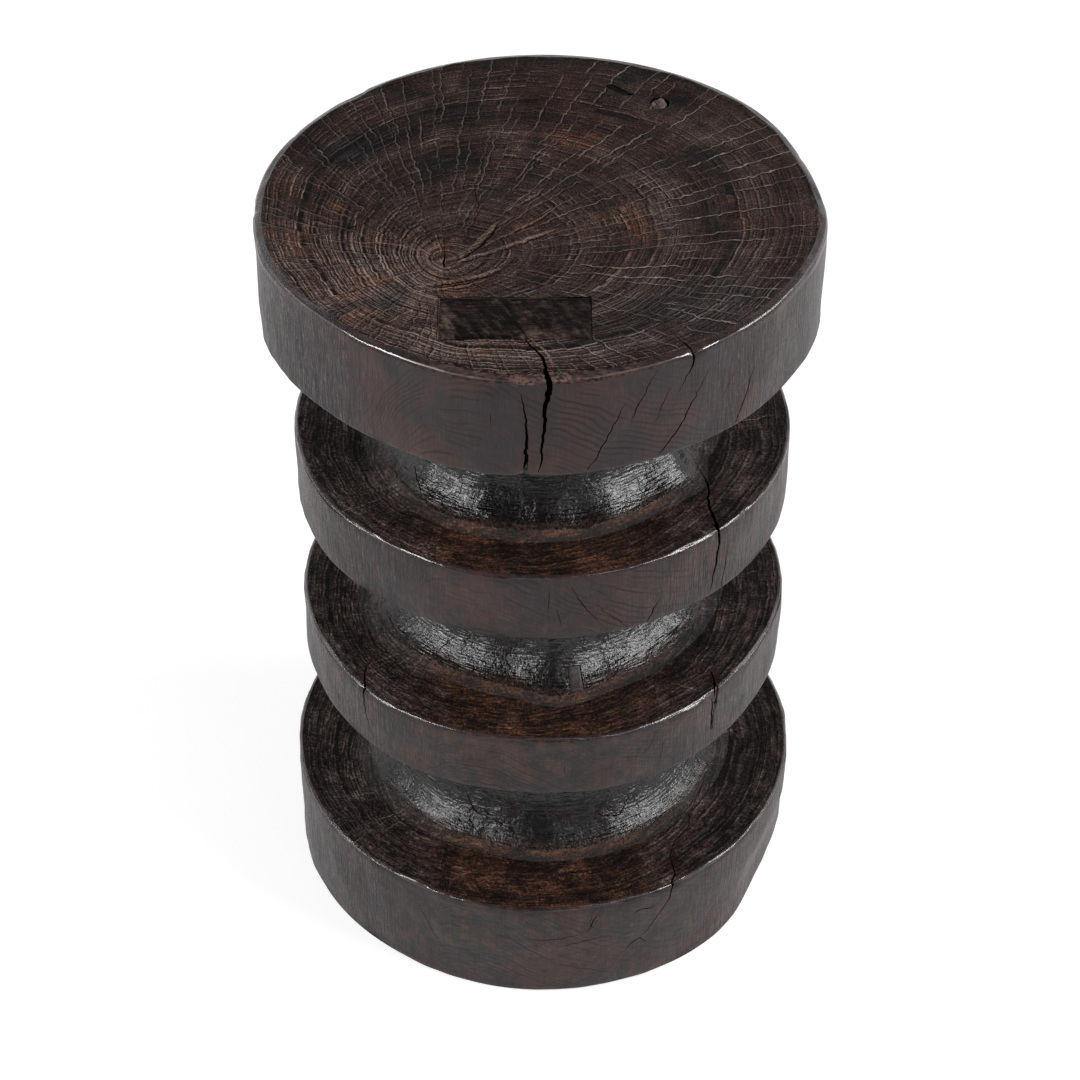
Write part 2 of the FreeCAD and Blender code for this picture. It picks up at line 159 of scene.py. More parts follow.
def line(start, end, step):
    """Points from start up to, but not at, end."""
    count = max(1, round(math.dist(start, end) / step))
    return [tuple(np.array(start) + (np.array(end) - start) * k / count) for k in range(count)]


def arc(centre, radius, start, end, count):
    """Points on an arc from start up to, but not at, end, in degrees from the +r axis."""
    angles = np.radians(np.linspace(start, end, count, endpoint=False))
    return [(centre[0] + radius * math.cos(a), centre[1] + radius * math.sin(a)) for a in angles]


def crease(before, corner, after, count=6):
    """A soft corner: a curve from before to, but not at, after, drawn towards the corner."""
    shares = np.linspace(0, 1, count, endpoint=False)[:, None]
    before, corner, after = (np.array(p, float) for p in (before, corner, after))
    curve = (1 - shares) ** 2 * before + 2 * shares * (1 - shares) * corner + shares**2 * after
    return [tuple(p) for p in curve]


def cove_arc(cove):
    """The arc of a cove: its centre, its radius, and half of its angle at the flare lines."""
    bottom, top, flare, depth = COVES[cove]
    half = (top - bottom) / 2
    radius = (half**2 + depth**2) / (2 * depth)
    centre = (flare - depth + radius, (top + bottom) / 2)
    return centre, radius, math.degrees(math.asin(half / radius))


# The kinds of surface, in the order of the log's materials. A place that is that far under the log's
# first surface is inside it, and end grain that is that far under the top face is a ledge.
END, SIDE, COVE, INSIDE, LEDGE, ARRIS = range(6)
WALL_FROM, LEDGE_FROM = 0.35, 30


def profile():
    """The log's outline from the top face's edge down to the base's, as (r, z, zone, disc, cove)."""
    rows = []

    def add(points, zone, cove=None):
        rows.extend((r, z, zone, disc, cove) for r, z in points)

    above = None
    for disc, below in DOWNWARDS:
        bottom, top, radius = DISCS[disc]
        upper, edge = UPPER_ARRIS[disc], radius - LOWER_ARRIS
        if above:
            centre, bend, swing = cove_arc(above)
            flare = COVES[above][2]
            foot = arc(centre, bend, 180 + swing - math.degrees(FOOT_SOFT / bend), 0, 1)[0]
            add(crease(foot, (flare, top), (flare + FOOT_SOFT, top)), COVE, above)
            add(line((flare + FOOT_SOFT, top), (radius - upper, top), FACE_STEP), END, above)
        add(arc((radius - upper, top - upper), upper, 90, 30, 5), ARRIS)
        add(arc((radius - upper, top - upper), upper, 30, 0, 2), SIDE)
        add(line((radius, top - upper), (radius, bottom + LOWER_ARRIS), RIM_STEP), SIDE)
        add(arc((edge, bottom + LOWER_ARRIS), LOWER_ARRIS, 0, -90, 5), SIDE)
        if below:
            centre, bend, swing = cove_arc(below)
            flare, length = COVES[below][2], math.radians(swing) * bend
            first = 180 - swing + math.degrees(HEAD_SOFT / bend)
            last = 180 + swing - math.degrees(FOOT_SOFT / bend)
            head = (flare + HEAD_SOFT, bottom)
            add(line((edge, bottom), head, HIDDEN_STEP), END, below)
            add(crease(head, (flare, bottom), arc(centre, bend, first, 0, 1)[0], 3), COVE, below)
            add(arc(centre, bend, first, 180, round(length / HIDDEN_STEP)), COVE, below)
            add(arc(centre, bend, 180, last, round(length / RIM_STEP)), COVE, below)
        above = below
    add([(edge, 0.0)], END)
    return rows


class Shell:
    """Vertices and faces of a closed surface that is built ring by ring."""

    def __init__(self):
        self.points, self.faces, self.zones = [], [], []

    def ring(self, points):
        first = len(self.points)
        self.points.extend(points)
        return list(range(first, len(self.points)))

    def add(self, zone, *faces):
        self.faces.extend(faces)
        self.zones.extend([zone] * len(faces))

    def join(self, outer, inner, zone):
        """Faces between two rings of the same count, or where the inner one has half as many."""
        for k, here in enumerate(inner):
            after = (k + 1) % len(inner)
            if len(outer) == len(inner):
                self.add(zone, (outer[k], outer[after], inner[after], here))
            else:
                left, middle, right = outer[2 * k], outer[2 * k + 1], outer[2 * after]
                self.add(zone, (left, middle, here), (middle, inner[after], here))
                self.add(zone, (middle, right, inner[after]))

    def cap(self, rim, centre, step):
        """Closes a ring with rings inside it that thin out towards the centre."""
        edge = np.array([self.points[k] for k in rim])
        reach = np.linalg.norm(edge[:, :2], axis=1).mean()
        rings = round(reach / step)
        for k in range(1, rings):
            share = 1 - k / rings
            if TAU * reach * share / len(rim) < 0.55 * step and len(rim) > 12:
                edge = edge[::2]
            inner = self.ring([tuple(centre + (p - centre) * share) for p in edge])
            self.join(rim, inner, END)
            rim = inner
        middle = self.ring([tuple(centre)])[0]
        for first, after in zip(rim, rim[1:] + rim[:1]):
            self.add(END, (first, after, middle))


def mesh_from(name, points, faces):
    """A mesh from points in millimetres, with its faces turned outwards."""
    mesh = bpy.data.meshes.new(name)
    mesh.from_pydata([tuple(p) for p in np.array(points) * MM], [], faces)
    tidy = bmesh.new()
    tidy.from_mesh(mesh)
    bmesh.ops.recalc_face_normals(tidy, faces=tidy.faces)
    tidy.to_mesh(mesh)
    tidy.free()
    return mesh


def linked(name, data):
    """An object with that data, in the scene."""
    thing = bpy.data.objects.new(name, data)
    bpy.context.scene.collection.objects.link(thing)
    return thing


def rows_of(items, name):
    """That vector of every vertex, normal or face of a mesh, as rows."""
    flat = np.empty(len(items) * 3, np.float32)
    items.foreach_get(name, flat)
    return flat.reshape(-1, 3).astype(float)


def log_rings():
    """The plain log, ring by ring, with each disc's outline and each cove's flare as measured."""
    shell, rows, rings = Shell(), profile(), []
    angles = np.arange(AROUND) * 360.0 / AROUND - 180.0
    cosines, sines = np.cos(np.radians(angles)), np.sin(np.radians(angles))

    def level(length, z):
        return np.column_stack([cosines * length, sines * length, np.full(AROUND, z)])

    for r, z, _, disc, cove in rows:
        radius = DISCS[disc][2]
        flare = COVES[cove][2] if cove else radius - 30
        if disc == "top":
            outline = around(TOP_OUTLINE, angles) - radius
        else:
            outline = OUTLINE_DEPTH * ripple(level(radius, z * 0.2), OUTLINE_WAVE, len(disc))
        if disc == "base":
            outline = outline - around(BASE_SCOOP, angles) * smooth(z, *SCOOP_HEIGHTS)
        length = r + outline * float(smooth(r, flare, radius - UPPER_ARRIS[disc]))
        if cove:
            inward = float(smooth(r - flare, *FOOT_FADE))
            length = length + around(FLARE_SHIFT[cove], angles) * inward
        length = np.minimum(length, REACH / np.maximum(abs(cosines), abs(sines)))
        rings.append(shell.ring(level(length, z).tolist()))
    for outer, inner, row in zip(rings, rings[1:], rows):
        shell.join(outer, inner, row[2])
    shell.cap(rings[0], np.array([0, 0, HEIGHT]), FACE_STEP)
    shell.cap(rings[-1], np.zeros(3), 2 * HIDDEN_STEP)
    return shell


# What is a rim and what a cove to the carver's hand, by radius and by height.
RIM_RADII, COVE_RADII = (150, 160), (140, 120)
COVE_BOTTOM, COVE_TOP = (80, 90), (481, 478)


def hand_work(points, normals):
    """How far each point of the plain log goes in or out, for the unevenness of hand carving."""
    r, z, _ = polar(points)
    level = abs(normals[:, 2])
    rim = smooth(level, 0.6, 0.2) * smooth(r, *RIM_RADII)
    cove = smooth(r, *COVE_RADII) * smooth(z, *COVE_BOTTOM) * smooth(z, *COVE_TOP)
    ledge = smooth(level, 0.8, 0.97) * (1 - cove)
    return (
        rim * (0.35 * ripple(points, 70, 3) + 0.14 * ripple(points, 19, 4, (1, 1, 2)))
        + cove * (0.35 * ripple(points, 40, 5) + 0.07 * ripple(points, 13, 6))
        + ledge * (0.3 * ripple(points, 46, 7) + 0.1 * ripple(points, 12, 8))
    )


def near_arris(points):
    """1 on the upper arris of a disc, falling to 0 some millimetres away from it."""
    r, z, angle = polar(points)
    found = []
    for disc, (_, top, radius) in DISCS.items():
        edge = around(TOP_OUTLINE, angle) if disc == "top" else radius
        away = np.hypot(r - edge, z - top) / UPPER_ARRIS[disc]
        found.append(smooth(away, 2.4, 0.7))
    return np.max(found, axis=0)


def near_flare(points):
    """1 on the line where a cove runs out into the ledge below it, falling to 0 around it."""
    r, z, angle = polar(points)
    return np.max([
        smooth(np.hypot(r - flare - around(FLARE_SHIFT[cove], angle), z - bottom), 13, 1)
        for cove, (bottom, _, flare, _) in COVES.items()
    ], axis=0)


def outside_flare(points):
    """0 in the hollow of a cove, rising to 1 where its foot has run out into the ledge."""
    r, z, angle = polar(points)
    found = []
    for cove, (bottom, top, flare, _) in COVES.items():
        here = (z > bottom - 4) & (z < (bottom + top) / 2)
        found.append(here * smooth(r - flare - around(FLARE_SHIFT[cove], angle), -4.5, 1.5))
    return np.max(found, axis=0)


# The drying cracks, each as its depth, its places and the width at each. A place is (angle, height)
# on a rim or a cove, with which a crack starts unless it names another ground: (x, y) on the disc
# that is named, or (angle, distance from the edge) on the underside of the top.
CRACKS = [
    (13, "top", (-14, -133, 0.3), (-13, -138, 0.8), (-7, -148, 1.2), (0, -159, 1.6), (2, -173, 2.2),
     (3, -177, 3.3), "rim", (-88.7, 546, 3.5), (-89.4, 532, 2.6), (-89.7, 513, 1.8),
     (-90.1, 493, 1.2), (-90.7, 482, 0.4)),
    (1.6, (-69.3, 70, 0.2), (-67.9, 73, 0.7), (-66, 70, 0.8), (-63.8, 70, 0.2)),
    (2, (-77.2, 76, 0.2), (-78.8, 73, 0.6), (-79, 66, 0.6), (-79.9, 60, 0.2)),
    (1.4, (-86.1, 47, 0.2), (-82.8, 50, 0.5), (-79, 52, 0.5), (-74.9, 54, 0.2)),
    (1.6, (-71.2, 32, 0.2), (-69.6, 39, 0.6), (-67.7, 42, 0.7), (-65.6, 33, 0.2)),
    (10, (-93.9, 541, 0.2), (-93.8, 535, 0.6), (-93.1, 524, 1), (-93, 509, 1.5), (-93, 495, 2.1),
     (-93.1, 483, 2.6), "under", (-93.2, 3, 2.6), (-93.3, 12, 1)),
    (3, (-99.7, 526, 0.15), (-99.6, 521, 0.37), (-99.5, 517, 0.15)),
    (6, (-74, 527, 0.15), (-75.6, 517, 0.56), (-77.5, 504, 0.68), (-79.6, 490, 0.74),
     (-81.4, 481, 0.31)),
    (3, (-71.4, 526, 0.15), (-72.2, 518, 0.43), (-72.9, 511, 0.15)),
    (4, (-67.5, 546, 0.2), (-69, 539, 0.3), (-69.9, 532, 0.45), (-71.3, 524, 0.5),
     (-72.8, 513, 0.15)),
    (5, "top", (72, -129, 0.2), (80, -139, 0.4), (86.5, -149, 1.1), "rim", (-59.8, 545, 1.3),
     (-60.5, 537, 0.6), (-62.8, 524, 0.15)),
    (3.5, (-64.6, 530, 0.15), (-66.2, 519, 0.43), (-67.8, 507, 0.15)),
    (7, (-55.9, 534, 0.15), (-58.2, 521, 0.43), (-59.9, 512, 0.68), (-62.9, 495, 0.81),
     (-65.8, 484, 0.62), (-66.9, 480, 0.25)),
    (3, (-48.9, 523, 0.15), (-50.6, 513, 0.31), (-52.4, 506, 0.15)),
    (6, (-43.6, 517, 0.15), (-45, 507, 0.56), (-46.4, 494, 0.81), (-48.4, 481, 0.43)),
    (10, "second", (96, -43, 0.15), (104, -62, 0.43), (108, -75, 1.12), (107.5, -96, 1.55),
     (111, -113, 1.86), (112, -118, 1.98), "rim", (-46.8, 377, 1.86), (-46.9, 366, 1.49),
     (-47.3, 355, 1.36), (-48.1, 343, 0.99), (-49, 332, 0.31)),
    (6, (-43.4, 368, 0.15), (-44, 357, 0.5), (-44.6, 344, 0.74), (-45.2, 331, 0.37)),
    (6, (-62.9, 349, 0.15), (-64.7, 339, 0.87), (-66, 331, 0.5)),
    (4, (-83.9, 375, 0.15), (-82.6, 367, 0.31), (-81.4, 359, 0.56), (-79.4, 349, 0.37),
     (-77.3, 340, 0.15)),
    (3, (-78.4, 357, 0.15), (-76.2, 349, 0.31), (-73.4, 341, 0.37), (-70.6, 331, 0.19)),
    (2.5, (-79.2, 371, 0.15), (-77.3, 366, 0.25), (-75.4, 361, 0.15)),
    (3.5, (-88.4, 370, 0.15), (-88.6, 361, 0.37), (-88.6, 353, 0.15)),
    (3.5, (-86.8, 357, 0.15), (-86.4, 349, 0.43), (-86, 341, 0.19)),
    (8, "third", (107, -95, 0.15), (112, -99, 0.37), (115, -104, 0.87), (116, -114, 1.24),
     (115, -121, 1.43), "rim", (-46.7, 234, 1.24), (-45.7, 224, 0.99), (-45.7, 213, 0.68),
     (-45.9, 204, 0.19)),
    (8, "third", (-116, -90, 0.19), (-119, -98, 0.74), (-120, -108, 1.12), (-119, -116, 1.24),
     "rim", (-135.7, 235, 1.24), (-135.6, 228, 1.05), (-135.1, 215, 0.74), (-134.1, 201, 0.25)),
    (3, (-60.6, 221, 0.15), (-61.4, 212, 0.37), (-62.1, 203, 0.15)),
    (2, (-63.4, 232, 0.15), (-64.4, 222, 0.25), (-66.2, 213, 0.15)),
    (2, (-84.6, 217, 0.15), (-84.9, 210, 0.25), (-84.4, 205, 0.15)),
    (6, "base", (117, -58, 0.15), (113, -70, 0.56), (105, -88, 0.43), (104, -102, 0.62),
     (93, -118, 0.5), (90, -132, 0.68), (93, -146, 0.93), (91, -153, 1.05), "rim", (-60, 80, 0.93),
     (-60.5, 72, 0.74), (-62.5, 62, 0.62), (-65.5, 49, 0.43), (-68.5, 41, 0.15)),
    (3, (-118.8, 66, 0.15), (-116.4, 47, 0.37), (-113.2, 29, 0.15)),
    (4, (-158.7, 81, 0.15), (-159.2, 70, 0.5), (-159.5, 58, 0.15)),
    (3, (-78.9, 79, 0.15), (-79.3, 70, 0.37), (-78.9, 64, 0.31), (-80.9, 60, 0.15)),
    (2.5, (-81.5, 59, 0.15), (-85.5, 56, 0.5), (-89.5, 55.5, 0.31), (-93, 56, 0.15)),
    (5, (-141.5, 394, 0.19), (-135.5, 389.5, 0.68), (-130.8, 386, 0.19)),
    (4, (-124.2, 393, 0.15), (-125.6, 389.5, 0.56), (-127.6, 386, 0.15)),
    (4, (-68.6, 406, 0.15), (-70.8, 399, 0.37), (-72.2, 392, 0.15)),
    (5, (-125.2, 255, 0.15), (-128.4, 248, 0.68), (-129.6, 243, 0.19)),
    (4, (-113.8, 265, 0.15), (-117.5, 255, 0.56), (-119.9, 248, 0.15)),
    (4, (-95.2, 261, 0.15), (-96.5, 251, 0.43), (-97.9, 243, 0.15)),
    (3, (-103.4, 266, 0.15), (-104.8, 255, 0.19)),
    (4, (-153.6, 249, 0.19), (-155.9, 243.5, 0.25)),
    (5, (-123, 113, 0.15), (-116.9, 102, 0.74), (-111.4, 97, 0.19)),
    (4, (-104.7, 119, 0.15), (-102.5, 111, 0.37), (-100.7, 104, 0.15)),
    (4, (-115.4, 104, 0.15), (-109, 100, 0.37), (-104.8, 97, 0.56), (-98, 93.5, 0.19)),
    (5, (-72, 103, 0.15), (-66, 99, 0.56), (-62, 97, 0.68), (-58, 101, 0.43), (-55, 106, 0.15)),
    (4, (-87.5, 108, 0.15), (-83.5, 103, 0.5), (-78, 105, 0.15)),
    (5, "top", (56, 128.5, 1.4), (58.5, 127.8, 3), (61, 127, 1)),
    (6, "top", (-60, -69, 0.5), (-60.5, -64, 1.5), (-60, -57, 0.5), (-60.5, -46, 0.31),
     (-61, -34, 0.15)),
    (3, "top", (-57, -63, 0.2), (-50, -56.5, 0.3), (-39, -48, 0.3), (-32, -37, 0.25),
     (-28, -24, 0.15)),
    (4, "top", (-42, -22, 0.15), (-40, -4, 0.43), (-42, 9, 0.5), (-43, 24, 0.15)),
    (6, "top", (-86, -91, 0.15), (-72, -88.5, 0.5), (-60, -90.5, 0.93), (-47, -86, 0.81),
     (-34, -79, 0.56), (-21, -72, 0.15)),
    (4, "top", (-69, -95.5, 0.15), (-60, -93.5, 0.56), (-53, -91, 0.15)),
]

# More of them at the back, each as (angle, disc, width), with how they lean on their way down.
BACK_CHECKS = (
    (118, "top", 0.9), (61, "top", 0.5), (152, "top", 0.4), (93, "second", 0.8), (24, "second", 0.5),
    (71, "third", 0.6), (160, "third", 0.8), (104, "base", 1.0), (38, "base", 0.5), (10, "base", 0.4),
)
BACK_WAY = ((0.88, 0.0), (0.6, 0.9), (0.34, 0.4), (0.1, 1.6))
for angle, disc, width in BACK_CHECKS:
    foot, head, _ = DISCS[disc]
    places = [(angle + lean, foot + (head - foot) * share) for share, lean in BACK_WAY]
    widths = (0.15, width, 0.8 * width, 0.15)
    CRACKS.append((5.0, *((*place, wide) for place, wide in zip(places, widths))))

# Places that are worn or chipped in, as (angle, radius, height), their reach and their depth.
DENTS = (
    ((-88.9, 180, 551), 5.0, 1.6), ((-93.1, 180, 478), 5.5, 2.4), ((-59.8, 178, 551), 4.0, 2.0),
    ((-46.9, 166, 382), 4.5, 1.3), ((-46.0, 168, 239), 4.5, 1.1), ((-135.6, 168, 239), 4.0, 1.0),
    ((-59.8, 180, 86), 5.0, 1.2), ((-77.5, 119, 391), 10.0, 2.2), ((-97, 119, 392), 9.0, 1.2),
    ((-97, 180, 551), 7.0, 0.9), ((-104, 179, 551), 5.0, 0.8),
)

# Nicks along the arrises, as (how long they are, seed, how much of the noise is left out). They go in
# and down, with this fall over a whole radius; at the top that way has about the length named.
NICKS = ((16, 11, 1.3), (45, 12, 1.2))
NICK_DEPTH = 0.4
NICK_FALL, NICK_LENGTH = 150.0, 235.0

# Ridges of raised grain on the top face, near the pith, each as its width, the width of the groove
# beside it, and its places.
RIDGES = (
    (5.2, 0.9, (-60, -62), (-51, -58), (-43, -48), (-39, -41), (-33, -30), (-28, -20)),
    (3.6, 0.8, (-54, -65), (-44, -59), (-32, -54), (-23, -48), (-14, -42), (-3, -35), (11, -28)),
    (3.8, 0.9, (-79, -91), (-61, -85), (-44, -81), (-32, -75), (-22, -69)),
    (2, 0.6, (-77, -95), (-59, -91.5), (-44, -87), (-32, -81)),
    (2.2, 0.7, (-25, -11), (-14, -2), (-3, 9), (2, 19)),
    (2, 0.6, (-38, -49), (-20, -33), (-1, -17), (10, -4)),
    (2, 0.5, (-64, -61), (-72, -54), (-85, -47), (-100, -44), (-128, -42)),
    (2, 0.5, (-68, -106), (-81, -116), (-88, -121), (-93, -126)),
    (1.6, 0.4, (-62, -58), (-63, -49), (-66, -36), (-71, -22)),
    (1.5, 0.4, (-70, -69), (-80, -76), (-94, -80), (-112, -86)),
    (2.4, 0.0, (-12, -134), (-6, -144), (2, -154), (5, -164), (7, -173)),
)
RIDGE_RISE = 0.65
GROOVE_DEPTH = 1.5

# Seeds of the random draws: of the wedges, and of how the cracks and the ridges wander.
WEDGE_SEED, CRACK_SEED, RIDGE_SEED = 5, 100, 300

# How far the top face is worn down, how much more about the knot, and over what distance.
TOP_WEAR, KNOT_DISH, DISH_REACH = 0.8, 1.7, 12.0

# How far outside the log the rays start that look for a place on it: off a face, and from the axis.
OFF_FACE, OFF_AXIS = 8, 260


def ray(ground, a, b):
    """The start of a ray to a place in a row of CRACKS or RIDGES, and its way."""
    if ground in DISCS:
        return Vector((a, b, DISCS[ground][1] + OFF_FACE)), Vector((0, 0, -1))
    way = compass(a)
    if ground == "rim":
        return way * OFF_AXIS + Vector((0, 0, b)), -way
    low, _, radius = DISCS["top"]
    return way * (radius - b) + Vector((0, 0, low - OFF_FACE)), Vector((0, 0, 1))


def rays_and_widths(crack):
    """The rays to a crack's places, and its widths there."""
    ground, rays, widths = "rim", [], []
    for item in crack:
        if isinstance(item, str):
            ground = item
        else:
            rays.append(ray(ground, *item[:2]))
            widths.append(item[2])
    return rays, widths


def along(path, shares):
    """Points at those shares of the way along a path."""
    path = np.array(path, float)
    ways = np.concatenate([[0], np.cumsum(np.linalg.norm(np.diff(path, axis=0), axis=1))])
    return np.column_stack([np.interp(shares * ways[-1], ways, column) for column in path.T])


# How far apart a run's places are, how far it goes past an arris, the cosine of the turn that ends
# it, and how much it wanders, over two places and at each.
RUN_STEP, PAST_ARRIS, RUN_TURN, WANDER = 1.9, 2.5, 0.6, (0.3, 0.12)


def past_arris(place, out, beyond):
    """A place straight on from a run's last one, a little past the arris that it crosses."""
    way = beyond - place
    way = way - out * (way @ out)
    return place + way * (1 + PAST_ARRIS / max(0.1, np.linalg.norm(way)))


def runs(tree, rays, widths, seed):
    """The runs of a crack or a ridge over the log, one for each side that it is on, as rows: places,
    ways out of the wood, ways across, widths, and how far each place is from the nearest tip."""
    draw = np.random.default_rng(seed)
    hits = [tree.ray_cast(*start)[:2] for start in rays]
    stations, facing = (np.array([hit[k] for hit in hits]) for k in (0, 1))
    turns = [k for k in range(1, len(hits)) if facing[k] @ facing[k - 1] < RUN_TURN]
    found = []
    for first, last in zip([0] + turns, turns + [len(hits)]):
        starts, ends = first == 0, last == len(hits)
        path, out, wide = (list(values[first:last]) for values in (stations, facing, widths))
        if not starts:
            path.insert(0, past_arris(path[0], out[0], stations[first - 1]))
            out, wide = out[:1] + out, wide[:1] + wide
        if not ends:
            path.append(past_arris(path[-1], out[-1], stations[last]))
            out, wide = out + out[-1:], wide + wide[-1:]
        ways = np.concatenate([[0], np.cumsum(np.linalg.norm(np.diff(path, axis=0), axis=1))])
        count = max(5, round(ways[-1] / RUN_STEP))
        shares = np.linspace(0, 1, count)
        there = shares * ways[-1]
        spread = np.column_stack([np.interp(there, ways, column) for column in np.array(out).T])
        for _ in range(4):
            spread[1:-1] = (spread[:-2] + 2 * spread[1:-1] + spread[2:]) / 4
        spread /= np.linalg.norm(spread, axis=1)[:, None]
        path = along(path, shares)
        across = np.cross(spread, np.gradient(path, axis=0))
        across /= np.linalg.norm(across, axis=1)[:, None]
        wander = np.repeat(draw.normal(0, WANDER[0], count // 2 + 1), 2)[:count]
        wander = wander + draw.normal(0, WANDER[1], count)
        wander[0] = wander[-1] = 0
        path = path + across * wander[:, None]
        low = -1 if starts else ways[1]
        high = ways[-1] + 1 if ends else ways[-2]
        for k in range(count):
            if low <= there[k] <= high:
                path[k] = tree.find_nearest(Vector(path[k]))[0]
        tips = np.minimum(there if starts else 99, ways[-1] - there if ends else 99)
        tips = np.broadcast_to(tips, count)
        found.append((path, spread, across, np.interp(there, ways, wide), tips))
    return found


def bands(size, count):
    """Faces between rings of points, each ring of the same size."""
    return [
        (k * size + j, k * size + (j + 1) % size, (k + 1) * size + (j + 1) % size, (k + 1) * size + j)
        for k in range(count - 1) for j in range(size)
    ]


def swept(sections):
    """The points and faces of a closed body through sections of the same count."""
    size, count = len(sections[0]), len(sections)
    ends = [tuple(range(size)), tuple(range((count - 1) * size, count * size))]
    return [tuple(p) for section in sections for p in section], bands(size, count) + ends


# A wedge's section has seven points, of which two lie on the lips of its crack.
SECTION_POINTS, LIP_POINTS = 7, (1, 5)


def blade(run, depth, draw):
    """The closed wedge that one run of a crack takes out of the log."""
    above = 2.0
    sections = []
    for place, out, across, wide, tip in zip(*run):
        half, deep = wide / 2, depth * min(1, tip / (0.9 * depth) + 0.12) * draw.uniform(0.85, 1)
        lip = min(0.5, 0.35 * half)
        lean = draw.normal(0, 0.12 * half, 2)
        section = (
            (-(half + above + lip), above), (-half, -lip), (-0.7 * half + lean[0], -0.45 * deep),
            (lean[1], -deep), (0.7 * half + lean[0], -0.45 * deep), (half, -lip),
            (half + above + lip, above),
        )
        sections.append([place + across * a + out * h for a, h in section])
    return swept(sections)


def ridge(run):
    """The closed low ridge that one run of raised grain adds to the log."""
    sections = []
    for place, out, across, wide, tip in zip(*run):
        half, lift = wide / 2, RIDGE_RISE * min(1, tip / 6.0 + 0.05)
        section = (
            (-half, -1.2), (-half, -0.1), (-0.55 * half, 0.75 * lift), (0, lift),
            (0.55 * half, 0.75 * lift), (half, -0.1), (half, -1.2),
        )
        points = [place + across * a + out * h for a, h in section]
        sections.append([(x, y, min(z, HEIGHT - 0.03)) for x, y, z in points])
    return swept(sections)


def apart(boxes):
    """Sorts boxes of (lowest, highest) into groups in which none meets another."""
    groups = []
    for index, (low, high) in enumerate(boxes):
        for group in groups:
            if not any((low < boxes[k][1]).all() and (boxes[k][0] < high).all() for k in group):
                group.append(index)
                break
        else:
            groups.append([index])
    return groups


def carve(body, parts, operation="DIFFERENCE"):
    """Takes the closed parts, each as points and faces, out of the body, or joins them to it."""
    boxes = [(np.min(p, axis=0) - 0.5, np.max(p, axis=0) + 0.5) for p, _ in parts]
    for group in apart(boxes):
        points, faces = [], []
        for index in group:
            first = len(points)
            points += list(parts[index][0])
            faces += [tuple(k + first for k in face) for face in parts[index][1]]
        tool = linked("cutter", mesh_from("cutter", points, faces))
        step = body.modifiers.new("cut", "BOOLEAN")
        step.operation, step.solver, step.object = operation, "MANIFOLD", tool
        graph = bpy.context.evaluated_depsgraph_get()
        done = bpy.data.meshes.new_from_object(body.evaluated_get(graph))
        body.modifiers.clear()
        body.data = done
        bpy.data.objects.remove(tool)


# The pieces let into the log, how much wider than they are their seats are cut, and how far above the
# top face a seat's cutter reaches.
KEY_CENTRE, KEY_SIZE, KEY_DEPTH = (-16.5, -121.0), (92.0, 41.5), 18.0
KNOT_CENTRE, KNOT_RADIUS, KNOT_DEPTH = (77.1, 118.7), 5.5, 14.0
KNOT_HOLE_SHIFT, KNOT_HOLE_RADIUS = 0.8, 6.5
POCKET_CENTRE, POCKET_SIZE, POCKET_DEPTH, POCKET_TURN = (49.7, 133.0), (12.0, 5.5), 9.0, -40.0
PATCH_SIZE, PATCH_ANGLE, PATCH_DEPTH, PATCH_SLOPE_SHARE = (9.0, 17.0), -79.0, 7.0, 0.79
KEY_GAP, PATCH_GAP, POCKET_GAP = 0.3, 0.3, 0.1
CUT_ABOVE = 3


def prism(outline, depth):
    """A closed prism over an outline of (x, y) points, from past the top face down to that depth."""
    return swept([[(x, y, z) for x, y in outline] for z in (HEIGHT - depth, HEIGHT + CUT_ABOVE)])


def rectangle(centre, size, grow):
    return [tuple(p) for p in np.array(centre) + CORNERS * (np.array(size) / 2 + grow)]


def circle(centre, radius, count=40):
    angles = np.arange(count) * TAU / count
    return [(centre[0] + radius * math.cos(a), centre[1] + radius * math.sin(a)) for a in angles]


def slot_outline(grow=0.0, count=10):
    """The bark pocket: a slot with round ends, its straight length and its width as the size."""
    way = math.radians(POCKET_TURN)
    half, radius = POCKET_SIZE[0] / 2, POCKET_SIZE[1] / 2 + grow
    points = []
    for side, start in ((1, 0), (-1, math.pi)):
        for angle in np.linspace(-math.pi / 2, math.pi / 2, count) + start:
            points.append((side * half + radius * math.cos(angle), radius * math.sin(angle)))
    c, s = math.cos(way), math.sin(way)
    return [(POCKET_CENTRE[0] + c * x - s * y, POCKET_CENTRE[1] + s * x + c * y) for x, y in points]


def patch_frame():
    """The middle of the patch on the cove, the way outwards, and the ways across and up it."""
    centre, bend, swing = cove_arc("middle")
    turn = math.radians(180 + swing * PATCH_SLOPE_SHARE)
    shift = float(around(FLARE_SHIFT["middle"], PATCH_ANGLE))
    r, z = centre[0] + bend * math.cos(turn) + shift, centre[1] + bend * math.sin(turn)
    way, upright = compass(PATCH_ANGLE), Vector((0, 0, 1))
    out, across = -math.cos(turn) * way - math.sin(turn) * upright, upright.cross(way)
    return way * r + upright * z, out, across, out.cross(across)


def patch_seat(above=8):
    """A closed block in the patch's place, from above its face down to its depth."""
    middle, out, across, up = patch_place
    half = np.array(PATCH_SIZE) / 2 + PATCH_GAP
    return swept([
        [tuple(middle + out * height + across * a + up * b) for a, b in CORNERS * half]
        for height in (-PATCH_DEPTH, above)
    ])


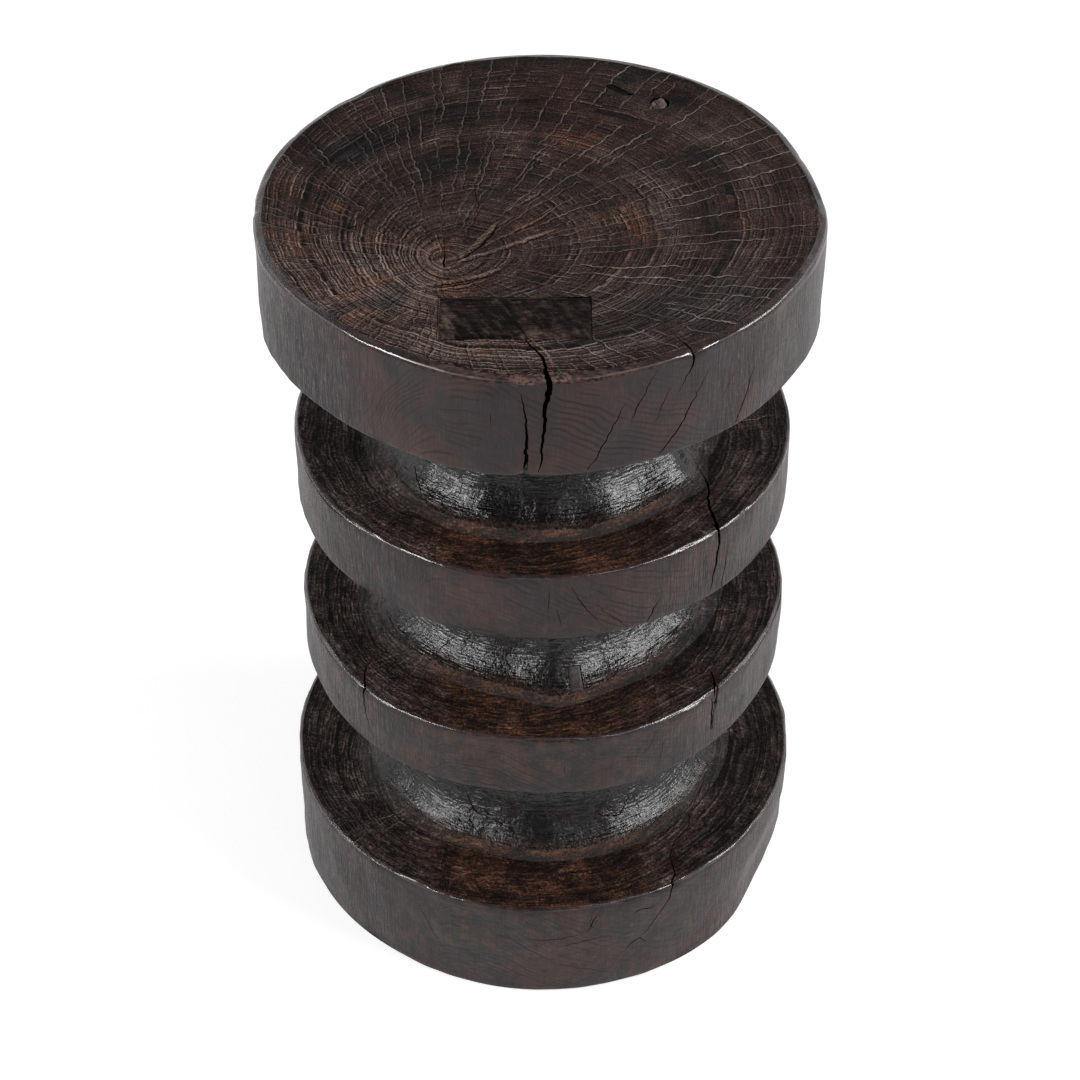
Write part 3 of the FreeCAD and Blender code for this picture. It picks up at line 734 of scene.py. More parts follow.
# The log: the plain form, uneven from the hand, worn at the top, at its dents and along its arrises.
shell = log_rings()
log_mesh = mesh_from("log", shell.points, shell.faces)
plain = rows_of(log_mesh.vertices, "co") / MM
outward = rows_of(log_mesh.vertex_normals, "vector")
worked = plain + outward * hand_work(plain, outward)[:, None]
top_part = smooth(plain[:, 2], HEIGHT - 2, HEIGHT - 0.2)
dish = np.exp(-((np.linalg.norm(plain[:, :2] - KNOT_CENTRE, axis=1) / DISH_REACH) ** 2))
worked[:, 2] -= top_part * (TOP_WEAR + KNOT_DISH * dish)
for (angle, r, z), reach, depth in DENTS:
    away = np.linalg.norm(plain - np.array(compass(angle) * r + Vector((0, 0, z))), axis=1)
    worked -= outward * (depth * np.exp(-((away / reach) ** 2)))[:, None]
chips = [np.clip(ripple(plain, length, seed) - over, 0, 2) for length, seed, over in NICKS]
nicks = NICK_DEPTH * near_arris(plain) * sum(chips)
nick_way = np.column_stack([plain[:, :2], np.full(len(plain), NICK_FALL)]) / NICK_LENGTH
worked -= nick_way * nicks[:, None]
spread = abs(worked[:, :2]).max(axis=1)
worked[:, :2] *= np.minimum(1, REACH / np.maximum(spread, 1e-6))[:, None]
worked[:, 2] = np.clip(worked[:, 2], 0, HEIGHT - 0.05)
worked[plain[:, 2] < 0.01, 2] = 0
log_mesh.vertices.foreach_set("co", (worked * MM).ravel())
log_mesh.update()

log = linked("carved_log_looks", log_mesh)
base_tree = BVHTree.FromPolygons(
    [tuple(p) for p in worked], [tuple(p.vertices) for p in log_mesh.polygons]
)
draw = np.random.default_rng(WEDGE_SEED)
blades = []
for number, (depth, *crack) in enumerate(CRACKS):
    for run in runs(base_tree, *rays_and_widths(crack), CRACK_SEED + number):
        blades.append(blade(run, depth, draw))
ridges = []
for number, (width, groove, *places) in enumerate(RIDGES):
    rays = [ray("top", *place) for place in places]
    widths = [0.5 * width] + [width] * (len(places) - 2) + [0.3 * width]
    for run in runs(base_tree, rays, widths, RIDGE_SEED + number):
        ridges.append(ridge(run))
        if groove:
            path, spread, across, wide, tips = run
            beside = path - across * (0.5 * wide + 0.5 * groove)[:, None]
            run = (beside, spread, across, groove * wide / width, tips)
            blades.append(blade(run, GROOVE_DEPTH, draw))
patch_place = patch_frame()
knot_hole = circle((KNOT_CENTRE[0] + KNOT_HOLE_SHIFT, KNOT_CENTRE[1]), KNOT_HOLE_RADIUS)
seats = [
    prism(rectangle(KEY_CENTRE, KEY_SIZE, KEY_GAP), KEY_DEPTH), prism(knot_hole, KNOT_DEPTH),
    prism(slot_outline(POCKET_GAP), POCKET_DEPTH), patch_seat(),
]
carve(log, ridges, "UNION")
carve(log, blades + seats)


def tree_of(points):
    tree = KDTree(len(points))
    for index, point in enumerate(points):
        tree.insert(point, index)
    tree.balance()
    return tree


def smooth_shading(piece, angle=32):
    """Smooth shading, but for the edges sharper than that angle."""
    piece.data.polygons.foreach_set("use_smooth", [True] * len(piece.data.polygons))
    piece.data.set_sharp_from_angle(angle=math.radians(angle))


def small_piece(name, points, faces):
    piece = linked(name + "_looks", mesh_from(name, points, faces))
    smooth_shading(piece)
    return piece


def below(point):
    """How far a point is under the surface that the log had before it was cut, and the face there."""
    place, out, number, _ = base_tree.find_nearest(Vector(point))
    return (place - Vector(point)).dot(out), number


finished = rows_of(log.data.vertices, "co") / MM
known = tree_of(worked)
LIP_REACH = 2.5
lips = tree_of([
    point for points, _ in blades for k, point in enumerate(points)
    if k % SECTION_POINTS in LIP_POINTS
])
deep = np.array([below(p)[0] if known.find(p)[2] > 0.01 else 0.0 for p in finished])
for name, values in {
    "arris": near_arris(finished),
    "flare": near_flare(finished),
    "outside": outside_flare(finished),
    "deep": smooth(deep, 0.0, 0.8),
    "lip": [math.exp(-((lips.find(point)[2] / LIP_REACH) ** 2)) for point in finished],
    "raised": smooth(-deep, 0.1, 0.3),
}.items():
    mark = log.data.attributes.new(name, "FLOAT", "POINT")
    mark.data.foreach_set("value", np.asarray(values, np.float32))
zones = []
for centre in rows_of(log.data.polygons, "center") / MM:
    under_by, number = below(centre)
    zone = shell.zones[number]
    if under_by > WALL_FROM:
        zone = INSIDE
    elif zone == END and centre[2] < HEIGHT - LEDGE_FROM:
        zone = LEDGE
    zones.append(zone)
smooth_shading(log)


def closed(points, faces, edge, feet):
    """Adds the sides from the points along an edge down to their feet, and the face below."""
    first, count = len(points), len(edge)
    faces += [
        (k, edge[(j + 1) % count], first + (j + 1) % count, first + j) for j, k in enumerate(edge)
    ]
    return points + feet, faces + [tuple(range(first, first + count))]


def slab(rows, foot):
    """A closed solid under rows of points, with sides down to the foot of each point at its edge."""
    height, width = len(rows), len(rows[0])
    points = [p for row in rows for p in row]
    faces = [
        (j * width + i, j * width + i + 1, (j + 1) * width + i + 1, (j + 1) * width + i)
        for j in range(height - 1) for i in range(width - 1)
    ]
    edge = list(range(width)) + [j * width + width - 1 for j in range(1, height)]
    edge += [(height - 1) * width + i for i in range(width - 2, -1, -1)]
    edge += [j * width for j in range(height - 2, 0, -1)]
    return closed(points, faces, edge, [foot(points[k]) for k in edge])


# The key: a block with a top worn a little uneven, sunk, and falling off over its edge.
KEY_STEP, KEY_SINK = 1.4, 0.35
KEY_FALL, KEY_EDGE = 0.9, 2.2
key_low, key_high = (np.array(KEY_CENTRE) + side * np.array(KEY_SIZE) / 2 for side in (-1, 1))


def key_top(x, y):
    inset = min(x - key_low[0], key_high[0] - x, y - key_low[1], key_high[1] - y)
    soft = KEY_FALL * (1 - float(smooth(inset, 0, KEY_EDGE)))
    wave = 0.14 * ripple(np.array([[x, y, 0.0]]), 30, 21)[0]
    wave += 0.06 * ripple(np.array([[x * 0.3, y, 0]]), 5, 22)[0]
    return (x, y, HEIGHT - KEY_SINK - soft - max(0, wave + 0.1))


xs, ys = (
    np.linspace(low, high, round((high - low) / KEY_STEP) + 1)
    for low, high in zip(key_low, key_high)
)
key_rows = [[key_top(x, y) for x in xs] for y in ys]
key = small_piece("check_key", *slab(key_rows, lambda p: (p[0], p[1], HEIGHT - KEY_DEPTH)))


# The knot: a broken stub of two rounded lobes, one higher than the other, sunk in its hole. A lobe is
# (x, y, half its width, half its depth, height), from the middle of the knot.
LOBES = ((1.7, 0.6, 2.9, 4.6, 2.9), (-3.2, -1.4, 1.9, 2.8, 1.3))
KNOT_POINTS, KNOT_RINGS, KNOT_SINK = 48, 9, 3.0


def lobe_height(x, y):
    heights = [0.0]
    for a, b, wide, deep, high in LOBES:
        inside = 1 - ((x - a) ** 2 / wide**2 + (y - b) ** 2 / deep**2)
        heights.append(high * math.sqrt(max(0, inside)))
    return max(heights)


def knot_solid():
    count, points = KNOT_POINTS, []
    for radius in KNOT_RADIUS * np.arange(KNOT_RINGS, 0, -1) / KNOT_RINGS:
        low = HEIGHT - KNOT_SINK - 0.8 * float(smooth(radius, KNOT_RADIUS - 1.2, KNOT_RADIUS))
        for a in np.arange(count) * TAU / count:
            # it fills its hole at the front and back, and leaves a crescent of a gap at the right
            reach = radius * (1 + 0.13 * math.sin(a) ** 2)
            x, y = reach * math.cos(a), reach * math.sin(a)
            points.append((KNOT_CENTRE[0] + x, KNOT_CENTRE[1] + y, low + lobe_height(x, y)))
    feet = [(x, y, HEIGHT - KNOT_DEPTH) for x, y, _ in points[:count]]
    inner = range(len(points) - count, len(points))
    faces = bands(count, KNOT_RINGS)
    faces += [(k, inner[(j + 1) % count], len(points)) for j, k in enumerate(inner)]
    points.append((*KNOT_CENTRE, HEIGHT - KNOT_SINK + lobe_height(0, 0)))
    return closed(points, faces, range(count), feet)


knot = small_piece("knot_plug", *knot_solid())

# The fill of the bark pocket, sunk in its middle, as (share of its outline, depth below the top).
FILL_STEPS = ((1.0, 1.3), (0.85, 0.95), (0.6, 1.25), (0.3, 1.6))


def fill_solid():
    outline, centre = np.array(slot_outline()), np.array(POCKET_CENTRE)
    points, faces = swept([
        [(*(centre + (p - centre) * share), HEIGHT - sink) for p in outline]
        for share, sink in FILL_STEPS
    ])
    del faces[-2]
    feet = [(x, y, HEIGHT - POCKET_DEPTH) for x, y in outline]
    return closed(points, faces, range(len(outline)), feet)


fill = small_piece("bark_fill", *fill_solid())


# The patch: its face follows the hollow of the cove that it is let into, a little under it, and more
# at its edges.
PATCH_GRID, PATCH_SINK, PATCH_FALL = (8, 13), 0.25, 0.5


def patch_solid():
    middle, out, across, up = patch_place
    rows = []
    for b in np.linspace(-0.5, 0.5, PATCH_GRID[1]):
        row = []
        for a in np.linspace(-0.5, 0.5, PATCH_GRID[0]):
            place = middle + across * (a * PATCH_SIZE[0]) + up * (b * PATCH_SIZE[1])
            hit = base_tree.ray_cast(place + out * 10, -out)[0]
            edge = min(0.5 - abs(a), 0.5 - abs(b)) * min(PATCH_SIZE)
            sink = PATCH_SINK + PATCH_FALL * (1 - float(smooth(edge, 0, 1)))
            row.append(tuple(hit - out * sink))
        rows.append(row)
    return slab(
        rows, lambda p: tuple(Vector(p) - out * ((Vector(p) - middle).dot(out) + PATCH_DEPTH))
    )


patch = small_piece("waist_patch", *patch_solid())


def srgb(red, green, blue):
    """A colour of the screen, from 0 to 255, as Blender's linear one."""
    values = [v / 255 for v in (red, green, blue)]
    return [v / 12.92 if v <= 0.04045 else ((v + 0.055) / 1.055) ** 2.4 for v in values] + [1.0]


def grey_of(level):
    return (level, level, level, 1)


class Field:
    """What a node gives, to be worked on with further nodes. Besides the methods it has + - * / as
    they are, | for the greater of two, and abs()."""

    def __init__(self, graph, socket):
        self.graph, self.socket = graph, socket

    def noise(self, size, detail=2.0, rough=0.5, out=0, distortion=0.0):
        """Noise of about that size in millimetres at a place, from 0 to 1 and about 0.5."""
        inputs = {"Vector": self, "Scale": 1 / size, "Detail": detail, "Roughness": rough}
        inputs["Distortion"] = distortion
        return self.graph.add("ShaderNodeTexNoise", inputs, out)

    def map_range(self, kind, low, high, start, end):
        values = {0: self, 1: low, 2: high, 3: start, 4: end}
        return self.graph.add("ShaderNodeMapRange", values, interpolation_type=kind)

    def step(self, low, high, start=0.0, end=1.0):
        """A smooth step from start, at low, to end, at high."""
        return self.map_range("SMOOTHSTEP", low, high, start, end)

    def scale(self, low, high, start=0.0, end=1.0):
        """A straight way from start, at low, to end, at high."""
        return self.map_range("LINEAR", low, high, start, end)

    def to(self, start, end):
        """A straight way from start, at 0, to end, at 1."""
        return self.scale(0, 1, start, end)

    def about(self, half, start, end):
        """A straight way from start to end over that distance on both sides of 0.5, for a noise."""
        return self.scale(0.5 - half, 0.5 + half, start, end)

    def mix(self, share, other, blend="MIX"):
        return self.graph.mix(share, self, other, blend)

    def under(self, *layers):
        """The colour with others over it in turn, each as (share, colour)."""
        colour = self
        for share, other in layers:
            colour = colour.mix(share, other)
        return colour

    def part(self, axis):
        return self.graph.add("ShaderNodeSeparateXYZ", {0: self}, axis)

    x, y, z = (property(lambda self, axis=axis: self.part(axis)) for axis in range(3))

    def times(self, *stretch):
        return self.graph.one("VectorMath", "MULTIPLY", (self, stretch))


def method(kind, operation, out=0, swapped=False):
    """A method that adds one node, of the graph's math or vector kind."""

    def act(self, *others):
        values = (*others, self) if swapped else (self, *others)
        return self.graph.one(kind, operation, values, out)

    return act


for word, operation in (
    ("add", "ADD"), ("sub", "SUBTRACT"), ("mul", "MULTIPLY"), ("truediv", "DIVIDE"),
    ("or", "MAXIMUM"),
):
    setattr(Field, f"__{word}__", method("Math", operation))
    setattr(Field, f"__r{word}__", method("Math", operation, swapped=True))
for word, kind, operation, out in (
    ("__abs__", "Math", "ABSOLUTE", 0), ("floor", "Math", "FLOOR", 0), ("fract", "Math", "FRACT", 0),
    ("sqrt", "Math", "SQRT", 0), ("plus", "VectorMath", "ADD", 0),
    ("minus", "VectorMath", "SUBTRACT", 0), ("scaled", "VectorMath", "SCALE", 0),
    ("dot", "VectorMath", "DOT_PRODUCT", 1), ("length", "VectorMath", "LENGTH", 1),
):
    setattr(Field, word, method(kind, operation, out))


class Graph:
    """Adds nodes to a material. Each method adds one and gives the field that it ends in."""

    def __init__(self, tree):
        self.tree = tree

    def put(self, socket, value):
        if isinstance(value, Field):
            self.tree.links.new(value.socket, socket)
        else:
            socket.default_value = value

    def add(self, kind, inputs=None, out=0, **settings):
        node = self.tree.nodes.new(kind)
        for name, value in settings.items():
            setattr(node, name, value)
        for key, value in (inputs or {}).items():
            self.put(node.inputs[key], value)
        return Field(self, node.outputs[out])

    def one(self, kind, operation, values, out=0):
        """One node of the math or the vector math kind."""
        keys = (0, "Scale") if operation == "SCALE" else (0, 1)
        return self.add("ShaderNode" + kind, dict(zip(keys, values)), out, operation=operation)

    def join(self, x, y, z):
        return self.add("ShaderNodeCombineXYZ", {0: x, 1: y, 2: z})

    def chance(self, vector, out=0):
        return self.add("ShaderNodeTexWhiteNoise", {"Vector": vector}, out, noise_dimensions="3D")

    def mix(self, share, first, second, blend="MIX"):
        """Two colours mixed; one of three numbers is a colour of the screen."""
        pair = [srgb(*c) if isinstance(c, tuple) and len(c) == 3 else c for c in (first, second)]
        inputs = {0: share, 6: pair[0], 7: pair[1]}
        return self.add("ShaderNodeMix", inputs, 2, data_type="RGBA", blend_type=blend)

    def ramp(self, value, first, *others):
        """A colour between stops of (place, and the three numbers of a colour of the screen)."""
        field = self.add("ShaderNodeValToRGB", {0: value})
        elements = field.socket.node.color_ramp.elements
        for element, stop in zip(elements, (first, others[-1])):
            element.position, element.color = stop[0], srgb(*stop[1:])
        for place, *colour in others[:-1]:
            elements.new(place).color = srgb(*colour)
        return field

    def mark(self, name):
        return self.add("ShaderNodeAttribute", out="Fac", attribute_name=name)

    def place(self):
        """Where a point is on the object, in millimetres."""
        return self.add("ShaderNodeTexCoord", out="Object").scaled(1 / MM)


class MaterialGraph(Graph):
    """The nodes of a new material."""

    def __init__(self, name):
        self.material = bpy.data.materials.new(name)
        self.material.use_nodes = True
        super().__init__(self.material.node_tree)
        self.shader = next(n for n in self.tree.nodes if n.type == "BSDF_PRINCIPLED")

    def done(self, colour, rough, height, specular):
        """Sets the shader's inputs and gives the material."""
        inputs = {"Base Color": colour, "Roughness": rough, "Specular IOR Level": specular}
        if height is not None:
            relief = {"Strength": 1.0, "Distance": MM, "Height": height}
            inputs["Normal"] = self.add("ShaderNodeBump", relief)
        for name, value in inputs.items():
            self.put(self.shader.inputs[name], value)
        return self.material

    def wood(self, colour, rough, height, specular):
        """The same, with the lips of the cracks tinted."""
        colour = colour.mix(self.mark("lip") * 0.2, (56, 28, 22))
        return self.done(colour, rough, height, specular)


def lanes(g, across, unit, half, seed, jitter=0.7):
    """Lines in lanes side by side: across counts the lanes, and unit is a lane's width in
    millimetres. Gives 1 on each line, 1 in the groove beside it, the lane, and its three chances."""
    lane = across.floor()
    luck = g.chance(g.join(lane, seed, 0.5), out=1)
    offset = luck.x.to(0.5 - jitter / 2, 0.5 + jitter / 2)
    aside = (across.fract() - offset) * unit
    line = abs(aside).step(half, 0.25 * half)
    # the groove on one side of each line: a dent in the relief, and where the colour darkens it,
    # painted shadow along the raised line
    groove = abs(aside + 1.9 * half).step(1.1 * half, 0.3 * half)
    return line, groove, lane, luck


def strokes(g, across, unit, along_way, run, half, share, seed):
    """Lines in lanes, broken into runs of that length, of which that share is there."""
    line, groove, lane, luck = lanes(g, across, unit, half, seed)
    travel = along_way / run + luck.y * 9.0
    throw = g.chance(g.join(lane, travel.floor(), seed + 3.5), out=1)
    there = throw.x.step(share + 0.04, share - 0.04)
    position = travel.fract()
    taper = position.step(0, 0.14) * position.step(1, 0.86)
    strength = throw.y.to(0.3, 1.1) * (there * taper)
    return line * strength, groove * strength


def log_axis(g, place, warp=5, jag=1.2, ray_jag=0):
    """Distance from the pith, angle round it, and the size of the growth ring at a place. The rings
    lie wide on the far side of the pith and close on the near side."""
    slow = place.noise(60, 1, out=1).minus((0.5, 0.5, 0.5))
    quick = place.noise(6, 2, out=1).minus((0.5, 0.5, 0.5))
    pith = (PITH[0], PITH[1], 0)
    from_pith = place.plus(slow.scaled(2 * warp)).minus(pith)
    flat = from_pith.plus(quick.scaled(2 * jag)).times(1, 1, 0)
    jagged = from_pith.plus(quick.scaled(2 * (ray_jag or jag)))
    distance = flat.length()
    angle = g.one("Math", "ARCTAN2", (jagged.y, jagged.x))
    spare = LOG_RADIUS**2 - PITH[0] ** 2 - PITH[1] ** 2
    slant = flat.dot(pith)
    squares = slant * slant + distance * distance * spare
    ring = (slant + squares.sqrt()) * (LOG_RADIUS / spare)
    return distance, angle, ring


# Rays round the pith: how many, and from which to which distance they are seen.
RAY_BANDS = ((30, 6, 38), (60, 34, 82), (92, 78, 150), (120, 145, 400))
HAIR_BANDS = ((120, 20, 60), (300, 50, 400))


def ray_strokes(g, distance, angle, run, half, share, seed, bands):
    """Strokes that run out from the pith, with more of them further out, and their grooves."""
    lines, grooves = [], []
    for number, (count, near, far) in enumerate(bands):
        across = angle * (count / TAU)
        unit = distance * (TAU / count)
        window = distance.step(near - 5, near + 5) * distance.step(far + 10, far - 10)
        line, groove = strokes(g, across, unit, distance, run, half, share, seed + number)
        lines.append(line * window)
        grooves.append(groove * window)
    return sum(lines[1:], lines[0]), sum(grooves[1:], grooves[0])


def ring_lines(g, distance, ring, pitch, half, seed):
    """Raised lines along the growth rings, and the grooves beside them."""
    unit = distance / (ring + 0.5) * pitch
    line, groove, _, luck = lanes(g, ring / pitch, unit, half, seed, 0.4)
    strength = luck.z.to(0.3, 1)
    return line * strength, groove * strength


def spot(g, place, x, y, wide, high, turn):
    """1 inside a soft-edged oval on the level faces, about (x, y)."""
    c, s = math.cos(math.radians(turn)), math.sin(math.radians(turn))
    from_middle = place.minus((x, y, 0))
    a = from_middle.dot((c / wide, s / wide, 0))
    b = from_middle.dot((-s / high, c / high, 0))
    return g.join(a, b, 0).length().step(1, 0.2)


def spots(g, place, rows, start=0):
    """The greatest of a start and the spots in those rows."""
    for row in rows:
        start = start | spot(g, place, *row)
    return start


def chafed_strip(g, place, colour, tint, bare, pitted):
    """The front strip of the top's arris: tinted, rubbed bare beside the main crack, and pitted, with
    painted shade in the pits.
    Gives its colour and where it is bare."""
    bare = bare * abs(place.x - 2).step(34, 8, 0.25, 0.8)
    pits = place.times(0.5, 1, 1).noise(2.2, 3, 0.7).step(0.5, 0.42)
    # the pits are painted nearly black: painted shade in them
    return colour.under(tint, (bare * 0.8, (128, 98, 87)), (pitted * pits, (10, 6, 5))), bare


# Worn and stained places on the top face: (x, y, half width, half height, turn).
RUST_SPOTS = (
    (-122, -10, 36, 22, 15), (-150, -42, 15, 26, 15), (24, 84, 38, 50, -10), (57, -24, 14, 32, 8),
    (22, 130, 18, 9, 0), (-168, 62, 22, 12, 60), (8, 128, 46, 34, 0),
)
DARK_SPOTS = (
    (-126, 60, 58, 34, 22), (-62, 48, 38, 26, 0), (88, 119, 24, 14, 0), (104, 52, 30, 22, 0),
)
GREY_SPOTS = ((96, -112, 110, 62, 25), (65, 124, 17, 10, -27))


def lattice(g, place):
    """The rings, rays and pores of the end grain, each from 0 to 1."""
    distance, angle, ring = log_axis(g, place, 5, 0.9, 2.8)
    uneven = g.join(ring, 0, 3).noise(10, 2)
    ring = ring + uneven * 12.0
    breaks = place.noise(11, 3, 0.6).step(0.36, 0.54)
    f = SimpleNamespace(breaks=breaks)
    f.rays, f.ray_grooves = ray_strokes(g, distance, angle, 120, 0.55, 0.88, 11, RAY_BANDS)
    f.hairs, _ = ray_strokes(g, distance, angle, 15, 0.42, 0.6, 71, HAIR_BANDS)
    # between two rays the rings run out of step with their neighbours, some strong, some faint
    _, (some, _, _), (more, start, _), _ = RAY_BANDS
    count = g.one("Math", "GREATER_THAN", (distance, start)).to(some, more)
    cell = (angle * (count / TAU) + 0.5).floor()
    luck = g.chance(g.join(cell, 3, 0.5), out=1)
    group = (ring / 15.0 + luck.x * 5).floor()
    f.cells = g.chance(g.join(cell, group, 8)).to(0.15, 1)
    outer = distance.step(14, 34)
    ring = ring + luck.y.to(-0.9, 0.9) * outer
    f.rings, f.ring_grooves = ring_lines(g, distance, ring, 4.4, 0.75, 31)
    f.fine_rings, f.fine_grooves = ring_lines(g, distance, ring, 2.2, 0.42, 47)
    f.band = g.join(ring, 4, angle * 3).noise(13, 2)
    f.grit = place.noise(1.3, 3, 0.75)
    f.pores = place.noise(1.1, 1).step(0.45, 0.34)
    f.mottle = place.noise(30, 5, 0.62)
    f.blotch = place.noise(7, 3, 0.6)
    f.patchy = place.noise(22, 3, 0.6).step(0.36, 0.62)
    return f


def weighted(f, **weights):
    """The sum of fields, each times its weight."""
    first, *others = [getattr(f, name) * weight for name, weight in weights.items()]
    return sum(others, first)


def top_grain():
    """The top face: pale raised rings and rays over dark brown, dull and rough, with painted shade in
    the grooves beside them and in the pores.
    """
    g = MaterialGraph("log_top_grain")
    place = g.place()
    f = lattice(g, place)
    right = place.x.step(-60, 110)
    bold = spot(g, place, -96, -72, 100, 84, 0) | spot(g, place, -20, -152, 150, 44, 0)
    net = spot(g, place, 76, -104, 104, 62, 20)
    bold = bold | net * 0.35
    cells = f.cells | bold * 0.8
    plain = f.patchy.to(0.5, 1) * right.to(1, 0.8)
    flat = g.mark("raised").to(1, 0.25)
    strong = (plain + bold * 0.5) * cells * flat
    fine = cells * bold.to(0.8, 1.2)
    f.rings, f.ring_grooves = f.rings * strong, f.ring_grooves * strong
    f.fine_rings, f.fine_grooves = f.fine_rings * fine * flat, f.fine_grooves * fine * flat
    f.rays = f.rays * f.breaks.to(0.35, 1)
    inner = g.join(place.x, place.y, 0).minus((PITH[0], PITH[1], 0)).length().step(90, 30)
    back = (place.y - place.x * 0.5).step(20, 150)
    tone = (
        f.mottle.about(0.2, 0.33, 0.54) + f.band.about(0.2, -0.1, 0.08)
        + f.blotch.about(0.16, -0.05, 0.05) + f.grit.about(0.16, -0.17, 0.17)
        # the negative weights darken the grooves beside the raised lines and the pores: painted shade
        # in the hollows
        + weighted(
            f, rings=0.4, ring_grooves=-0.5, fine_rings=0.24, fine_grooves=-0.3, hairs=0.1,
            ray_grooves=-0.28, pores=-0.22,
        )
        + g.mark("raised") * 0.3 + back * -0.1 + net * -0.05
    )
    colour = g.ramp(
        tone, (0, 7, 5, 5), (0.22, 23, 17, 16), (0.45, 53, 40, 36), (0.66, 92, 74, 67),
        (0.95, 144, 128, 119),
    )
    teal = place.plus((310, 90, 40)).noise(40, 3).step(0.56, 0.72)
    teal, grey = spots(g, place, DARK_SPOTS, teal), spots(g, place, GREY_SPOTS)
    rust = spots(g, place, RUST_SPOTS, place.noise(34, 4, 0.65).step(0.48, 0.62) * 0.5)
    rust = rust * place.noise(5, 4, 0.75).step(0.36, 0.58) * (1.0 - grey)
    colour = colour.mix(rust, (1.55, 1.03, 0.76, 1), "MULTIPLY")
    colour = colour.mix(teal * 0.92, (0.36, 0.48, 0.58, 1), "MULTIPLY")
    colour = colour.mix(grey, (0.72, 0.87, 1.02, 1), "MULTIPLY")
    ray = f.rays * right.to(0.36, 0.72) * inner.to(1, 0.45) * net.to(1, 1.3)
    colour = colour.mix(ray | f.fine_rings * net * 0.3, (152, 142, 135))
    front = g.mark("arris") * place.y.step(-150, -168)
    ridge_line = f.rings * 1.4 + f.fine_rings
    chafed = front.step(0.2, 0.7) * (f.grit + ridge_line).step(0.5, 0.85)
    chafed = chafed * f.blotch.step(0.38, 0.54)
    tint = (front * 0.5, (58, 35, 30))
    colour, _ = chafed_strip(g, place, colour, tint, chafed, front.step(0.1, 0.5))
    height = (
        f.grit * 0.5
        + weighted(
            f, rings=0.22, ring_grooves=-0.3, rays=0.28, ray_grooves=-0.2, fine_rings=0.08,
            fine_grooves=-0.1, pores=-0.2,
        )
    )
    return g.wood(colour, f.grit.about(0.2, 0.75, 0.5), height, 0.06)


def ledge_look(g, place):
    """The colour and the relief of the ledges: the same end grain, darker, scorched and fuzzy, with
    painted shade in its grooves and pores.
    """
    f = lattice(g, place)
    aside = abs(place.x).step(40, 120)
    fuzz = place.noise(1.7, 3, 0.75)
    _, angle, ring = log_axis(g, place, 5, 1.4)
    strand = g.join(ring, angle * 22, place.z).noise(2.6, 3, 0.7)
    tone = (
        f.mottle.about(0.18, 0.18, 0.54) + f.blotch.about(0.16, -0.06, 0.06)
        + fuzz.about(0.14, -0.2, 0.22) + strand.about(0.16, -0.18, 0.24)
        + f.band.about(0.2, -0.1, 0.1) + f.rays * (f.patchy * aside.to(0.1, 0.36))
        # the grooves and the pores are darkened here: painted shade in the hollows
        + f.rings * aside.to(0.05, 0.2) + f.ring_grooves * aside.to(-0.08, -0.22)
        + weighted(f, pores=-0.14, fine_rings=0.06, fine_grooves=-0.12, ray_grooves=-0.1)
    )
    warm = g.ramp(
        tone, (0, 8, 6, 5), (0.25, 24, 17, 14), (0.5, 54, 36, 28), (0.75, 99, 65, 47),
        (1, 140, 104, 84),
    )
    grey = g.ramp(
        tone, (0, 9, 8, 8), (0.25, 25, 20, 20), (0.5, 54, 45, 43), (0.75, 84, 74, 71),
        (1, 130, 122, 118),
    )
    cool = (aside * 0.5 + f.blotch).step(0.5, 0.95)
    colour = g.mix(cool, warm, grey)
    worn = g.mark("flare").step(0.8, 1) * place.noise(2.2, 4, 0.75).step(0.44, 0.6)
    worn = worn * place.noise(26, 3).step(0.4, 0.6) * place.y.step(-80, -105)
    colour = colour.mix(worn * 0.6, (112, 70, 48))
    height = fuzz * 0.6 + f.grit * 0.3 + weighted(f, ring_grooves=-0.2, rays=0.12, pores=-0.15)
    return colour, height, fuzz.about(0.2, 0.75, 0.5)


def ledge_grain():
    g = MaterialGraph("log_ledge_grain")
    colour, height, rough = ledge_look(g, g.place())
    return g.wood(colour, rough, height, 0.06)


